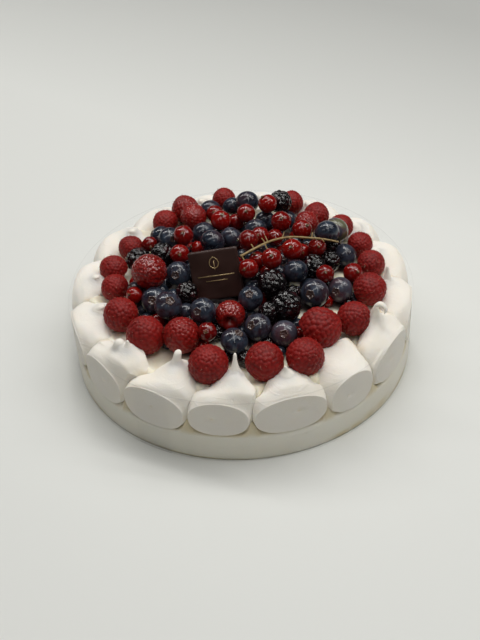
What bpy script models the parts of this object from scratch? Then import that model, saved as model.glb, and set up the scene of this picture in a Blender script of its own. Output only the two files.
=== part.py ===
# Pavlova: a round meringue disc with a crown of sixteen piped meringue kisses,
# a bed of cream inside the crown, a heap of berries on the cream, a chocolate
# plaque standing in the heap, a sprig of red currants lying over it, and a
# clear film collar round the side.
#
# World frame: +Z up, origin at the centre of the underside of the disc.
# All sizes below are in millimetres; MM turns them into metres.

import math

import bmesh
import bpy
import numpy as np
from mathutils import Matrix, Vector

MM = 0.001

# ---------------------------------------------------------------- sizes (mm)
CAKE_R = 99.0            # radius of the disc and of the flat faces of the kisses
BASE_H = 18.0            # height of the plain disc
BASE_EDGE = 1.4          # rounding at the foot of the disc
GAP = 0.3                # clearance between touching pieces
FACE_TOP = 41.0          # top of the flat pressed face of each kiss
CREAM_EDGE = 38.0        # cream level at the notches between the kisses
CREAM_DOME = 12.0        # how much higher the cream stands in the middle
CREAM_R = 78.0           # radius at which the dome of cream meets its edge level
FILM_R = 99.55           # inner radius of the film collar
FILM_T = 0.25            # film thickness, as modelled
FILM_H = 43.0            # height of the film's upper edge
FILM_START = 233.0       # azimuth where the strip of film starts, degrees
FILM_OVERLAP = 12.0      # how far its end laps over its start, degrees
PLAQUE = 28.5            # side of the square plaque
PLAQUE_T = 3.0           # thickness of the plaque
STEM_R = 0.65            # radius of the sprig's stem
STALK_R = 0.45           # radius of the short stalks of its currants

# Creases between neighbouring kisses (azimuth, degrees), going round from +X.
CREASES = [1.3, 26.4, 45.2, 67.5, 90.0, 112.0, 134.4, 156.2,
           182.0, 208.0, 229.5, 252.3, 272.6, 296.0, 315.6, 338.0]

# How far out the cream reaches in the notch at each of those creases.
NOTCHES = [88.0, 89.0, 89.0, 89.0, 89.0, 89.0, 89.0, 88.0,
           87.0, 85.0, 86.0, 88.0, 89.5, 89.0, 82.0, 86.0]

# Pulled tip of the kiss that follows each crease: azimuth, radius, height.
TIPS = [(13.5, 85.0, 46.0), (33.5, 89.0, 45.0), (57.0, 87.0, 47.0), (78.0, 85.0, 47.5),
        (104.0, 88.0, 46.0), (121.0, 88.0, 46.0), (140.0, 85.0, 47.0), (173.0, 88.5, 45.0),
        (192.0, 82.0, 45.0), (217.5, 80.0, 50.5), (241.0, 75.0, 52.5), (266.0, 77.5, 56.5),
        (284.0, 82.5, 47.0), (304.0, 80.5, 46.0), (329.0, 85.5, 58.5), (352.0, 84.0, 55.5)]

# The berries: azimuth, distance from the axis, height of the middle, radius,
# then where the blossom end or tip points: azimuth and tilt from upright.
RASPBERRIES = [
    (167.0, 76.0, 46.5, 8.0, 170, 55), (149.5, 75.0, 45.5, 7.4, 150, 60),
    (184.5, 51.5, 59.0, 9.7, 205, 70), (180.5, 72.5, 46.0, 7.9, 185, 35),
    (202.0, 73.0, 47.5, 9.4, 205, 15), (222.0, 71.0, 48.5, 10.2, 225, 12),
    (236.5, 61.0, 50.0, 9.6, 240, 20), (255.5, 76.5, 48.5, 10.3, 262, 25),
    (278.0, 75.0, 48.5, 10.2, 200, 70), (294.0, 79.0, 48.5, 9.9, 290, 40),
    (308.5, 67.0, 50.5, 11.5, 10, 75), (325.5, 74.5, 47.0, 9.3, 320, 30),
    (347.0, 75.0, 47.5, 9.2, 350, 65), (6.0, 77.5, 46.5, 8.0, 5, 40),
    (21.0, 77.5, 46.0, 7.5, 25, 50), (37.0, 79.5, 45.5, 7.5, 45, 60),
    (50.0, 76.5, 48.0, 7.6, 60, 30), (64.0, 79.5, 49.8, 7.2, 70, 25),
    (95.5, 79.5, 50.0, 7.0, 95, 50), (114.5, 77.5, 49.5, 8.3, 120, 40),
    (126.0, 74.5, 47.5, 7.7, 140, 55), (260.5, 39.0, 52.0, 7.9, 85, 95),
    (47.5, 63.0, 51.0, 7.3, 300, 60), (115.0, 62.5, 53.5, 7.7, 250, 60)]

BLUEBERRIES = [
    (181.0, 35.0, 53.5, 7.1, 253, 60), (200.5, 52.0, 49.0, 7.4, 259, 50),
    (216.5, 50.5, 54.5, 7.5, 297, 32), (241.5, 44.5, 56.5, 7.1, 237, 58),
    (280.0, 30.5, 56.5, 6.6, 258, 31), (280.0, 48.0, 49.5, 7.4, 221, 50),
    (265.0, 56.0, 48.0, 7.3, 347, 25), (293.5, 56.0, 47.5, 7.0, 264, 52),
    (330.5, 47.5, 52.0, 7.8, 240, 61), (344.5, 58.5, 47.0, 7.0, 239, 63),
    (345.5, 33.0, 56.5, 6.9, 100, 70), (16.0, 65.5, 46.5, 6.7, 20, 80),
    (24.5, 58.0, 59.5, 7.0, 90, 60), (31.0, 69.0, 52.5, 7.4, 60, 80),
    (116.5, 46.5, 51.5, 6.8, 140, 70), (124.5, 26.0, 59.0, 7.0, 60, 75),
    (97.5, 29.5, 55.5, 6.4, 40, 80), (138.0, 55.5, 52.0, 6.7, 300, 60),
    (134.5, 65.5, 47.5, 6.6, 180, 60), (102.5, 71.0, 49.5, 6.6, 80, 60),
    (83.5, 64.5, 57.0, 7.0, 90, 75), (74.5, 42.0, 53.0, 6.4, 90, 70)]

BRAMBLES = [
    (158.0, 64.0, 47.0, 7.4, 200, 60), (153.5, 50.5, 51.0, 7.1, 30, 50),
    (209.0, 34.5, 52.0, 6.5, 250, 60), (313.0, 26.0, 57.0, 8.2, 240, 50),
    (305.5, 42.5, 53.0, 8.6, 290, 60), (1.5, 42.5, 52.0, 7.5, 300, 40),
    (10.5, 54.0, 49.0, 6.1, 330, 20), (66.0, 67.5, 57.5, 6.9, 90, 60)]

# The sprig: the route of its stem, then its currants (middle, radius) with the
# place along the stem (0 to 1) where each one's stalk leaves it.
STEM = [(1.0, -4.0, 66.0), (10.5, 2.0, 67.2), (19.0, 8.5, 66.5), (30.0, 12.8, 65.4),
        (43.0, 12.6, 64.0), (50.5, 11.5, 63.3), (58.0, 10.0, 62.0)]
SPRIG_CURRANTS = [(6.2, 12.2, 65.5, 6.0, 0.14), (13.1, 21.2, 61.4, 5.6, 0.27),
                  (18.5, -5.7, 64.6, 6.0, 0.26), (30.8, 4.7, 62.5, 6.2, 0.50),
                  (45.8, 12.3, 57.7, 5.3, 0.76), (5.2, -13.0, 64.0, 5.6, 0.02)]

# The plaque: its middle, its lean back from upright, its turn and its roll.
PLAQUE_AT = (-13.5, -8.0, 57.2)
PLAQUE_LEAN, PLAQUE_TURN, PLAQUE_ROLL = 24.0, -8.5, 10.0


# ------------------------------------------------------------------- helpers
def clear_scene():
    for obj in list(bpy.data.objects):
        bpy.data.objects.remove(obj, do_unlink=True)


def material(name, colour, roughness, transmission=0.0, coat=0.0):
    mat = bpy.data.materials.new(name)
    mat.use_nodes = True
    bsdf = mat.node_tree.nodes["Principled BSDF"]
    bsdf.inputs["Base Color"].default_value = (*colour, 1.0)
    bsdf.inputs["Roughness"].default_value = roughness
    bsdf.inputs["Metallic"].default_value = 0.0
    bsdf.inputs["Transmission Weight"].default_value = transmission
    bsdf.inputs["Coat Weight"].default_value = coat
    mat.diffuse_color = (*colour, 1.0)
    return mat


def add_object(name, verts, faces, mat, location=(0, 0, 0), axis=None, parent=None, smooth=True):
    """verts in mm, in the object's own frame; axis turns its +Z that way."""
    mesh = bpy.data.meshes.new(name)
    mesh.from_pydata([tuple(c * MM for c in v) for v in verts], [], faces)
    bm = bmesh.new()
    bm.from_mesh(mesh)
    bmesh.ops.recalc_face_normals(bm, faces=bm.faces[:])
    bmesh.ops.triangulate(bm, faces=[f for f in bm.faces if len(f.verts) > 4])
    bm.to_mesh(mesh)
    bm.free()
    mesh.materials.append(mat)
    if smooth:
        mesh.shade_smooth()
        mesh.set_sharp_from_angle(angle=math.radians(50))
    obj = bpy.data.objects.new(name, mesh)
    obj.location = tuple(c * MM for c in location)
    if axis is not None:
        obj.rotation_mode = "QUATERNION"
        obj.rotation_quaternion = Vector(axis).to_track_quat("Z", "Y")
    bpy.context.scene.collection.objects.link(obj)
    if parent is not None:
        obj.parent = parent
    return obj


def polar(azimuth, radius, height=0.0):
    a = math.radians(azimuth)
    return (radius * math.cos(a), radius * math.sin(a), height)


def pointing(azimuth, tilt):
    a, t = math.radians(azimuth), math.radians(tilt)
    return (math.sin(t) * math.cos(a), math.sin(t) * math.sin(a), math.cos(t))


def rings_solid(rings, top=None, bottom=None):
    """Closed solid through rings of equal length, with poles or flat caps."""
    n = len(rings[0])
    verts = [v for ring in rings for v in ring]
    faces = []
    for k in range(len(rings) - 1):
        for i in range(n):
            j = (i + 1) % n
            faces.append((k * n + i, k * n + j, (k + 1) * n + j, (k + 1) * n + i))
    for pole, start in ((bottom, 0), (top, (len(rings) - 1) * n)):
        if pole is None:
            faces.append(tuple(start + i for i in range(n)))
        else:
            verts.append(pole)
            faces += [(start + i, start + (i + 1) % n, len(verts) - 1) for i in range(n)]
    return verts, faces


def loop_solid(rings):
    """Closed ring-shaped solid: the last ring joins the first."""
    n, m = len(rings[0]), len(rings)
    verts = [v for ring in rings for v in ring]
    faces = [(k * n + i, k * n + (i + 1) % n, ((k + 1) % m) * n + (i + 1) % n, ((k + 1) % m) * n + i)
             for k in range(m) for i in range(n)]
    return verts, faces


def turned(profile, sides, bump=1.0):
    """Solid of revolution about Z; profile runs (radius, height) from foot to
    top, with a pole at each end. Every second ring is turned by half a step,
    and bump pulls in every second point of a ring."""
    verts, faces = [], []
    for k, (r, z) in enumerate(profile[1:-1]):
        for i in range(sides):
            a = 2 * math.pi * (i + 0.5 * (k % 2)) / sides
            f = bump if i % 2 else 1.0
            verts.append((r * f * math.cos(a), r * f * math.sin(a), z))
    bands = len(profile) - 3
    for k in range(bands):
        for i in range(sides):
            j = (i + 1) % sides
            a, b = k * sides + i, k * sides + j
            c, d = a + sides, b + sides
            faces += [(a, b, d), (a, d, c)] if k % 2 else [(a, b, c), (b, d, c)]
    for height, start in ((profile[0][1], 0), (profile[-1][1], bands * sides)):
        verts.append((0, 0, height))
        faces += [(start + i, start + (i + 1) % sides, len(verts) - 1) for i in range(sides)]
    return verts, faces


# ------------------------------------------------------------- cream surface
def cream_height(radius):
    r = np.minimum(radius, CREAM_R)
    return CREAM_EDGE + CREAM_DOME * np.cos(math.pi * r / (2 * CREAM_R)) ** 2


# ------------------------------------------------------- settling the berries
def plaque_axes():
    lean, turn, roll = (math.radians(v) for v in (PLAQUE_LEAN, PLAQUE_TURN, PLAQUE_ROLL))
    front = Vector((math.sin(turn) * math.cos(lean), -math.cos(turn) * math.cos(lean), math.sin(lean)))
    right = Vector((0, 0, 1)).cross(front).normalized()
    up = front.cross(right)
    side = right * math.cos(roll) + up * math.sin(roll)
    top = up * math.cos(roll) - right * math.sin(roll)
    return side, top, front


def settle(centres, radii, fixed):
    """Push the berries apart, off the cream and off the plaque until each has
    its clearance. Deterministic: equal pushes, fixed number of rounds."""
    centres = centres.copy()
    side, top, front = (np.array(v) for v in plaque_axes())
    middle = np.array(PLAQUE_AT) - front * PLAQUE_T / 2
    half = np.array([PLAQUE / 2, PLAQUE / 2, PLAQUE_T / 2])
    basis = np.stack([side, top, front])
    loose = (~fixed)[:, None].astype(float)
    for _ in range(400):
        apart = centres[:, None] - centres[None]
        dist = np.linalg.norm(apart, axis=2)
        np.fill_diagonal(dist, 1e6)
        lack = np.maximum(radii[:, None] + radii[None] + GAP + 0.1 - dist, 0.0)
        push = (apart / dist[..., None] * lack[..., None]).sum(axis=1) * 0.4
        local = (centres - middle) @ basis.T
        outside = local - np.clip(local, -half, half)
        gap = np.linalg.norm(outside, axis=1)
        lack = np.maximum(radii + GAP + 0.2 - gap, 0.0)
        push += (outside / np.maximum(gap, 1e-6)[:, None] * lack[:, None]) @ basis * 0.6
        floor = cream_height(np.hypot(centres[:, 0], centres[:, 1])) + radii + GAP
        push[:, 2] += np.maximum(floor - centres[:, 2], 0.0) * 0.6
        centres += push * loose
    return centres


# --------------------------------------------------------------------- kisses
COLUMNS = [-1.0, -0.6, -0.2, 0.0, 0.2, 0.6]     # across one kiss, crease to crease
WALL = [(BASE_H + GAP, 1.2), (21.5, 0.5), (27.5, 0.0), (34.5, 0.0), (FACE_TOP - 1.0, 0.0)]
RIDGE = [0.12, 0.42, 0.74, 1.0]                 # from the wall to the tip


def kiss(index):
    start = CREASES[index]
    end = CREASES[(index + 1) % len(CREASES)]
    if end < start:
        end += 360.0
    tip_az, tip_r, tip_z = TIPS[index]
    if tip_az < start - 1.0:
        tip_az += 360.0
    notches = NOTCHES[index], NOTCHES[(index + 1) % len(CREASES)]
    return start, end, tip_az, tip_r, tip_z, notches


def face_inset(s, z):
    """How far the wall stands back beside a kiss's round flat face."""
    mid, half = 30.0, 12.2
    reach = max(0.0, 1.0 - abs((z - mid) / half) ** 2.6) ** (1 / 2.6)
    return max(0.0, abs(s) - 0.985 * reach) * 9.0


def crown_columns(centres, radii):
    """For each column round the crown: the points of the wall, the top and the
    inner foot. The top stays clear under every berry that leans on it."""
    columns = []
    for index in range(len(CREASES)):
        start, end, tip_az, tip_r, tip_z, notches = kiss(index)
        mid, half = (start + end) / 2, (end - start) / 2
        for s in COLUMNS:
            flat_az = mid + half * s
            lean = (tip_az - mid) * (1.0 - abs(s))
            points = []
            for z, back in WALL:
                points.append(polar(flat_az, CAKE_R - back * 0.4 - min(face_inset(s, z), 3.0), z))
            inner_r = tip_r + (notches[0 if s < 0 else 1] - tip_r) * abs(s) ** 0.62
            for t in RIDGE:
                r = (CAKE_R - 1.6) + (inner_r - (CAKE_R - 1.6)) * t
                crease = 37.0 + 1.6 * t + (0.6 if index % 2 else 0.0) * (1 - t)
                ridge = FACE_TOP + 1.2 + (tip_z - FACE_TOP - 1.2) * t ** 1.5 + 2.2 * math.sin(math.pi * t) * (1 - t)
                spread = 2.4 - 1.8 * t
                z = crease + (ridge - crease) * (1.0 - abs(s) ** spread) ** 0.8
                x, y, _ = polar(flat_az + lean * t ** 1.3, r)
                d2 = (centres[:, 0] - x) ** 2 + (centres[:, 1] - y) ** 2
                near = d2 < (radii + 1.0) ** 2
                if near.any():
                    under = centres[near, 2] - np.sqrt((radii[near] + 1.0) ** 2 - d2[near])
                    z = min(z, float(under.min()))
                points.append((x, y, max(z, 24.0)))
            x, y, _ = points[-1]
            points.append((x, y, BASE_H + GAP))
            columns.append(points)
    return columns


def inset_outline(outline, distance):
    """Outline moved inwards by a distance, point by point."""
    n = len(outline)
    moved = []
    for i in range(n):
        p, q, r = (Vector(outline[k % n]) for k in (i - 1, i, i + 1))
        a, b = (q - p).normalized(), (r - q).normalized()
        na, nb = Vector((-a.y, a.x)), Vector((-b.y, b.x))
        bisector = na + nb
        if bisector.length < 1e-6:
            bisector = na
        bisector.normalize()
        stretch = min(1.6, 1.0 / max(0.3, bisector.dot(na)))
        moved.append(tuple(q + bisector * distance * stretch))
    return moved


# ----------------------------------------------------------------- the pieces
def build():
    clear_scene()
    cake = bpy.data.objects.new("pavlova", None)
    bpy.context.scene.collection.objects.link(cake)

    meringue = material("meringue", (0.86, 0.83, 0.77), 0.75)
    cream_mat = material("cream", (0.87, 0.80, 0.62), 0.45)
    film_mat = material("clear_film", (0.95, 0.96, 0.94), 0.08, transmission=0.95)
    raspberry_mat = material("raspberry", (0.36, 0.012, 0.018), 0.5)
    blueberry_mat = material("blueberry", (0.035, 0.045, 0.10), 0.45, coat=0.4)
    bramble_mat = material("bramble", (0.012, 0.008, 0.014), 0.25, coat=0.6)
    currant_mat = material("currant", (0.42, 0.01, 0.012), 0.15, coat=0.8)
    chocolate = material("chocolate", (0.045, 0.02, 0.014), 0.35)

    # Disc of meringue.
    profile = [(0, 0), (CAKE_R - BASE_EDGE, 0), (CAKE_R - 0.3, 0.5), (CAKE_R, BASE_EDGE),
               (CAKE_R, BASE_H - 1.2), (CAKE_R - 1.0, BASE_H), (0, BASE_H)]
    sides = 64
    rings = [[polar(360 * i / sides, r, z) for i in range(sides)] for r, z in profile[1:-1]]
    verts, faces = rings_solid(rings, bottom=(0, 0, 0), top=(0, 0, BASE_H))
    add_object("meringue_base", verts, faces, meringue, parent=cake)

    # Berries first, because the crown and the cream stay clear of them.
    rows = [("raspberry", row) for row in RASPBERRIES]
    rows += [("blueberry", row) for row in BLUEBERRIES]
    rows += [("bramble", row) for row in BRAMBLES]
    centres = [polar(az, dist, z) for _, (az, dist, z, *_rest) in rows]
    radii = [row[3] for _, row in rows]
    fixed = [False] * len(rows)
    for x, y, z, r, _ in SPRIG_CURRANTS:
        centres.append((x, y, z))
        radii.append(r)
        fixed.append(True)
    centres, radii, fixed = np.array(centres, float), np.array(radii, float), np.array(fixed)
    centres = settle(centres, radii, fixed)

    shapes = {
        "raspberry": turned([(0, -0.58), (0.50, -0.86), (0.88, -0.46), (0.985, 0.02),
                             (0.86, 0.46), (0.54, 0.82), (0, 0.985)], 10, bump=0.94),
        "blueberry": turned([(0, -0.95), (0.62, -0.74), (0.97, -0.22), (0.95, 0.30),
                             (0.64, 0.74), (0.30, 0.90), (0, 0.78)], 8),
        "bramble": turned([(0, -0.90), (0.62, -0.72), (0.96, -0.22),
                           (0.94, 0.30), (0.60, 0.78), (0, 0.985)], 10, bump=0.90)}
    mats = {"raspberry": raspberry_mat, "blueberry": blueberry_mat, "bramble": bramble_mat}
    count = {}
    for (kind, row), centre in zip(rows, centres):
        count[kind] = count.get(kind, 0) + 1
        verts, faces = shapes[kind]
        add_object("%s_%02d" % (kind, count[kind]), [tuple(c * row[3] for c in v) for v in verts],
                   faces, mats[kind], location=centre, axis=pointing(row[4], row[5]), parent=cake)

    # Crown of kisses: one body, because they are piped and baked side by side.
    columns = crown_columns(centres, radii)
    verts, faces = loop_solid(columns)
    add_object("meringue_crown", verts, faces, meringue, parent=cake)

    # Cream: fills the crown, reaches out into the notches and domes inwards.
    outline = inset_outline([(c[-1][0], c[-1][1]) for c in columns], 0.7)
    rings = [[(x, y, BASE_H + GAP) for x, y in outline], [(x, y, CREAM_EDGE) for x, y in outline]]
    for fraction in (0.88, 0.74, 0.58, 0.38, 0.19):
        rings.append([(x * fraction, y * fraction, float(cream_height(math.hypot(x, y) * fraction)))
                      for x, y in outline])
    verts, faces = rings_solid(rings, bottom=(0, 0, BASE_H + GAP), top=(0, 0, float(cream_height(0.0))))
    cream = add_object("cream", verts, faces, cream_mat, parent=cake)

    # Plaque, with its lower edge stuck into the cream.
    side, top, front = plaque_axes()
    turn = Matrix((side, top, front)).transposed().to_4x4()

    def slab(name, grow):
        bm = bmesh.new()
        bmesh.ops.create_cube(bm, size=1.0)
        size = ((PLAQUE + 2 * grow) * MM, (PLAQUE + 2 * grow) * MM, (PLAQUE_T + 2 * grow) * MM)
        bmesh.ops.scale(bm, vec=size, verts=bm.verts)
        if not grow:
            bmesh.ops.bevel(bm, geom=bm.edges[:], offset=0.5 * MM, segments=1, affect="EDGES")
        mesh = bpy.data.meshes.new(name)
        bm.to_mesh(mesh)
        bm.free()
        obj = bpy.data.objects.new(name, mesh)
        centre = Vector(PLAQUE_AT) - front * (PLAQUE_T / 2)
        obj.matrix_world = Matrix.Translation(centre * MM) @ turn
        bpy.context.scene.collection.objects.link(obj)
        return obj

    plaque = slab("plaque", 0.0)
    plaque.data.materials.append(chocolate)
    plaque.parent = cake
    slot = slab("plaque_slot", GAP)
    slot.hide_render = True
    slot.display_type = "WIRE"
    cut = cream.modifiers.new("slot", "BOOLEAN")
    cut.operation, cut.solver, cut.object = "DIFFERENCE", "EXACT", slot

    # Film collar: one strip wound once round the side, its end over its start.
    stations = 60
    rings = []
    for k in range(stations + 1):
        turn_deg = (360.0 + FILM_OVERLAP) * k / stations
        lap = max(0.0, min(1.0, (turn_deg - 352.0) / 7.0))
        r = FILM_R + lap * (FILM_T + 0.12)
        az = FILM_START + turn_deg
        rings.append([polar(az, r, 0.3), polar(az, r + FILM_T, 0.3),
                      polar(az, r + FILM_T, FILM_H), polar(az, r, FILM_H)])
    verts, faces = rings_solid(rings)
    add_object("film_collar", verts, faces, film_mat, parent=cake, smooth=False)

    # Currant sprig: a curved stem, stalks and currants joined into one body.
    knots = [Vector(p) for p in STEM]

    def stem_point(u):
        u = min(max(u, 0.0), 1.0) * (len(knots) - 1)
        i = min(int(u), len(knots) - 2)
        t = u - i
        p0, p1 = knots[max(i - 1, 0)], knots[i]
        p2, p3 = knots[i + 1], knots[min(i + 2, len(knots) - 1)]
        return 0.5 * ((2 * p1) + (p2 - p0) * t + (2 * p0 - 5 * p1 + 4 * p2 - p3) * t * t
                      + (3 * p1 - p0 - 3 * p2 + p3) * t ** 3)

    def tube(points, radius, sides):
        rings = []
        for i, p in enumerate(points):
            a = points[max(i - 1, 0)]
            b = points[min(i + 1, len(points) - 1)]
            along = (b - a).normalized()
            u = along.cross(Vector((0.13, 0.21, 0.97))).normalized()
            w = along.cross(u)
            rings.append([tuple(p + (u * math.cos(2 * math.pi * k / sides)
                                     + w * math.sin(2 * math.pi * k / sides)) * radius)
                          for k in range(sides)])
        return rings_solid(rings)

    points = [stem_point(k / 11) for k in range(12)]
    verts, faces = tube(points, STEM_R, 5)
    sprig = add_object("currant_sprig", verts, faces, currant_mat, parent=cake)
    ball = turned([(0, -1.0), (0.70, -0.71), (0.99, 0.0), (0.70, 0.71), (0, 1.0)], 8)
    for k, (x, y, z, r, u) in enumerate(SPRIG_CURRANTS):
        middle = Vector((x, y, z))
        root = stem_point(u)
        away = (root - middle).normalized()
        stalk = tube([root + away * 0.2, middle + away * (r * 0.6)], STALK_R, 4)
        grown = add_object("sprig_currant_%d" % (k + 1), [tuple(c * r for c in v) for v in ball[0]],
                           ball[1], currant_mat, location=middle, axis=away)
        joined = add_object("sprig_stalk_%d" % (k + 1), stalk[0], stalk[1], currant_mat)
        for helper in (joined, grown):
            helper.hide_render = True
            helper.display_type = "WIRE"
            join = sprig.modifiers.new(helper.name, "BOOLEAN")
            join.operation, join.solver, join.object = "UNION", "EXACT", helper


build()
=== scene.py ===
import math

import bmesh
import bpy
import numpy as np
from mathutils import Matrix, Vector


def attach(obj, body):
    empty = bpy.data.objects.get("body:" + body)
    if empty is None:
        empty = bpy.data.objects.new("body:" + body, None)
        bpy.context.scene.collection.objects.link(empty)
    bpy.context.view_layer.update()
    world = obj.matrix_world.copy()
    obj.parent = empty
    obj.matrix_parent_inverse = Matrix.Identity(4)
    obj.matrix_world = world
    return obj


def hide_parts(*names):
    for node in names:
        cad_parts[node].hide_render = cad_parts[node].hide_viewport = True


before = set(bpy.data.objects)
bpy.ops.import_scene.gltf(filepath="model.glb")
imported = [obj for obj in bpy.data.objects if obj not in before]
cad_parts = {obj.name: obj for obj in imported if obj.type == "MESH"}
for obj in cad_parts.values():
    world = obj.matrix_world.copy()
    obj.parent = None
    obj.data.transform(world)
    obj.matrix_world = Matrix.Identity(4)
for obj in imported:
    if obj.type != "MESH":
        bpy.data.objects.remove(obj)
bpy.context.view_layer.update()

MM = 0.001
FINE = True

# ------------------------------------------------------------------ the cake
CAKE_R = 99.0
BASE_H = 18.0
FILM_H = 43.0
CREASES = [1.3, 26.4, 45.2, 67.5, 90.0, 112.0, 134.4, 156.2,
           182.0, 206.0, 227.3, 250.6, 271.1, 296.3, 314.6, 338.0]
# How many degrees each crease has wandered by the time it reaches the notch.
WANDER = [0.0, 0.5, -0.5, 0.4, 0.0, -0.5, 0.5, 0.0,
          0.5, 2.5, 6.0, 3.0, 2.1, -2.0, 2.4, 0.0]
# How far out the cream reaches in the notch at each crease.
NOTCHES = [88.0, 89.0, 89.0, 89.0, 89.0, 89.0, 89.0, 88.0,
           87.0, 84.5, 86.3, 88.0, 90.8, 91.0, 80.0, 86.0]
# tip azimuth, radius, height, sharpness of the pull, radius of the very tip,
# 1 for the kiss whose tip curls over
TIPS = [(13.5, 84.0, 46.0, 1.4, 3.0, 0.0), (33.5, 87.0, 45.4, 1.3, 3.5, 0.0),
        (57.0, 86.0, 46.4, 1.4, 3.0, 0.0), (78.0, 84.5, 46.8, 1.5, 2.6, 0.0),
        (104.0, 86.0, 45.8, 1.4, 3.0, 0.0), (121.0, 86.0, 46.0, 1.4, 3.0, 0.0),
        (140.0, 84.0, 46.4, 1.5, 2.8, 0.0), (173.0, 85.0, 45.2, 1.3, 3.5, 0.0),
        (193.0, 82.0, 45.6, 1.3, 3.2, 0.0), (218.5, 80.0, 51.4, 2.5, 2.0, 0.0),
        (241.0, 75.5, 52.6, 2.6, 1.75, 0.0), (266.5, 77.5, 56.6, 3.0, 0.8, 0.0),
        (284.5, 82.0, 47.4, 2.0, 1.6, 0.0), (304.0, 76.0, 45.6, 1.1, 9.0, 0.0),
        (329.0, 85.0, 58.5, 2.7, 1.5, 1.0), (352.0, 83.5, 55.0, 2.4, 1.0, 0.0)]

# radius, azimuth and tilt of the tip (or blossom end), height against width
RASPBERRIES = [
    (8.0, 170, 55, 1.05), (7.4, 150, 60, 1.05), (9.7, 205, 70, 1.05), (7.9, 185, 35, 1.0),
    (9.4, 205, 15, 1.06), (10.2, 225, 12, 1.10), (9.6, 240, 20, 1.10), (10.3, 262, 25, 1.04),
    (10.2, 200, 70, 1.0), (9.9, 290, 40, 1.04), (11.5, 10, 75, 1.02), (9.3, 320, 30, 1.05),
    (9.2, 350, 65, 1.03), (8.0, 5, 40, 1.0), (7.5, 25, 50, 1.0), (7.5, 45, 60, 1.0),
    (7.6, 60, 30, 1.05), (7.2, 70, 25, 1.05), (7.0, 95, 50, 1.0), (8.3, 120, 40, 1.05),
    (7.7, 140, 55, 1.0), (7.9, 85, 95, 1.05), (7.3, 300, 60, 1.0), (7.7, 250, 60, 1.05)]
BLUEBERRIES = [
    (7.1, 253, 60), (7.4, 259, 50), (7.5, 297, 32), (7.1, 237, 58), (6.6, 258, 31),
    (7.4, 221, 50), (7.3, 347, 25), (7.0, 264, 52), (7.8, 240, 61), (7.0, 239, 63),
    (6.9, 100, 70), (6.7, 20, 80), (7.0, 90, 60), (7.4, 60, 80), (6.8, 140, 70),
    (7.0, 60, 75), (6.4, 40, 80), (6.7, 300, 60), (6.6, 180, 60), (6.6, 80, 60),
    (7.0, 90, 75), (6.4, 90, 70)]
UNRIPE = {8: 1.27, 10: 1.24, 14: 1.50}        # blueberries that are paler
BRAMBLES = [
    (7.4, 200, 60), (7.1, 30, 50), (6.5, 250, 60), (8.2, 240, 50),
    (8.6, 290, 60), (7.5, 300, 40), (6.1, 330, 20), (6.9, 90, 60)]

# Small fruit with no CAD node of its own: azimuth, distance from the axis,
# height, radius, azimuth and tilt of the blossom end.
LOOSE_BLUEBERRIES = [(91.8, 70.8, 50.2, 6.0, 90, 60), (72.1, 56.6, 49.9, 6.4, 90, 60),
                     (184.2, 60.6, 46.4, 5.4, 200, 40), (61.8, 67.6, 45.6, 5.8, 60, 70)]
LOOSE_CURRANTS = [
    (145.8, 63.9, 49.7, 4.7, 280, 78), (136.5, 44.1, 58.5, 6.0, 271, 39), (154.4, 38.1, 55.1, 5.9, 273, 56),
    (101.3, 49.0, 55.6, 6.2, 295, 24), (102.6, 60.7, 53.1, 5.3, 266, 44), (83.3, 51.5, 57.6, 5.8, 271, 41),
    (70.0, 56.4, 62.4, 5.8, 180, 30), (348.2, 49.4, 54.9, 5.3, 271, 41), (357.3, 65.2, 49.0, 5.8, 300, 50),
    (193.3, 62.0, 50.6, 4.9, 230, 50), (249.9, 55.9, 52.8, 5.3, 259, 53), (90.4, 56.8, 47.7, 5.2, 60, 50),
    (22.0, 11.6, 56.7, 5.0, 200, 20), (130.2, 37.9, 49.8, 4.2, 200, 60), (53.3, 44.2, 61.1, 6.1, 272, 36),
    (38.1, 48.8, 58.1, 6.0, 320, 40), (22.6, 40.5, 52.4, 4.8, 270, 60), (49.7, 33.8, 56.5, 5.1, 200, 50)]

# The sprig (mm): its stem's route, and its currants with their place on it.
STEM = [(1.0, -4.0, 66.0), (10.5, 2.0, 67.2), (19.0, 8.5, 66.5), (30.0, 12.8, 65.4),
        (43.0, 12.6, 64.0), (50.5, 11.5, 63.3), (58.0, 10.0, 62.0)]
SPRIG_CURRANTS = [(6.2, 12.2, 65.5, 6.0, 0.14, 191, 77), (13.1, 21.2, 61.4, 5.6, 0.27, 250, 50),
                  (18.5, -5.7, 64.6, 6.0, 0.26, 267, 37), (30.8, 4.7, 62.5, 6.2, 0.50, 255, 40),
                  (45.8, 12.3, 57.7, 5.3, 0.76, 280, 50), (5.2, -13.0, 64.0, 5.6, 0.02, 240, 60)]
# Bare stubs of stalks on the stem: place along it and reach (mm).
STUBS = [(0.30, (-1.4, 4.2, 1.6)), (0.44, (1.2, 3.6, 1.4)), (0.66, (1.0, 3.4, 1.6)), (0.78, (1.4, -2.4, -0.6))]
LOOSE_BRAMBLES = [(291.5, 40.5, 52.0, 6.2, 250, 70), (25.0, 61.5, 48.0, 6.0, 250, 60)]

PLAQUE_AT = (-13.5, -8.0, 57.2)
PLAQUE, PLAQUE_T = 28.5, 3.0
PLAQUE_LEAN, PLAQUE_TURN, PLAQUE_ROLL = 24.0, -8.5, 10.0

rng = np.random.default_rng(7)


# ------------------------------------------------------------------- helpers
def polar(az, r, z=0.0):
    a = math.radians(az)
    return np.array([r * math.cos(a), r * math.sin(a), z])


def pointing(az, tilt):
    a, t = math.radians(az), math.radians(tilt)
    return np.array([math.sin(t) * math.cos(a), math.sin(t) * math.sin(a), math.cos(t)])


def turn_to(axis, spin=0.0):
    """3x3 matrix that turns +Z to axis, after a spin about +Z."""
    q = Vector(axis).to_track_quat("Z", "Y").to_matrix()
    return np.array(q @ Matrix.Rotation(spin, 3, "Z"))


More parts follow.
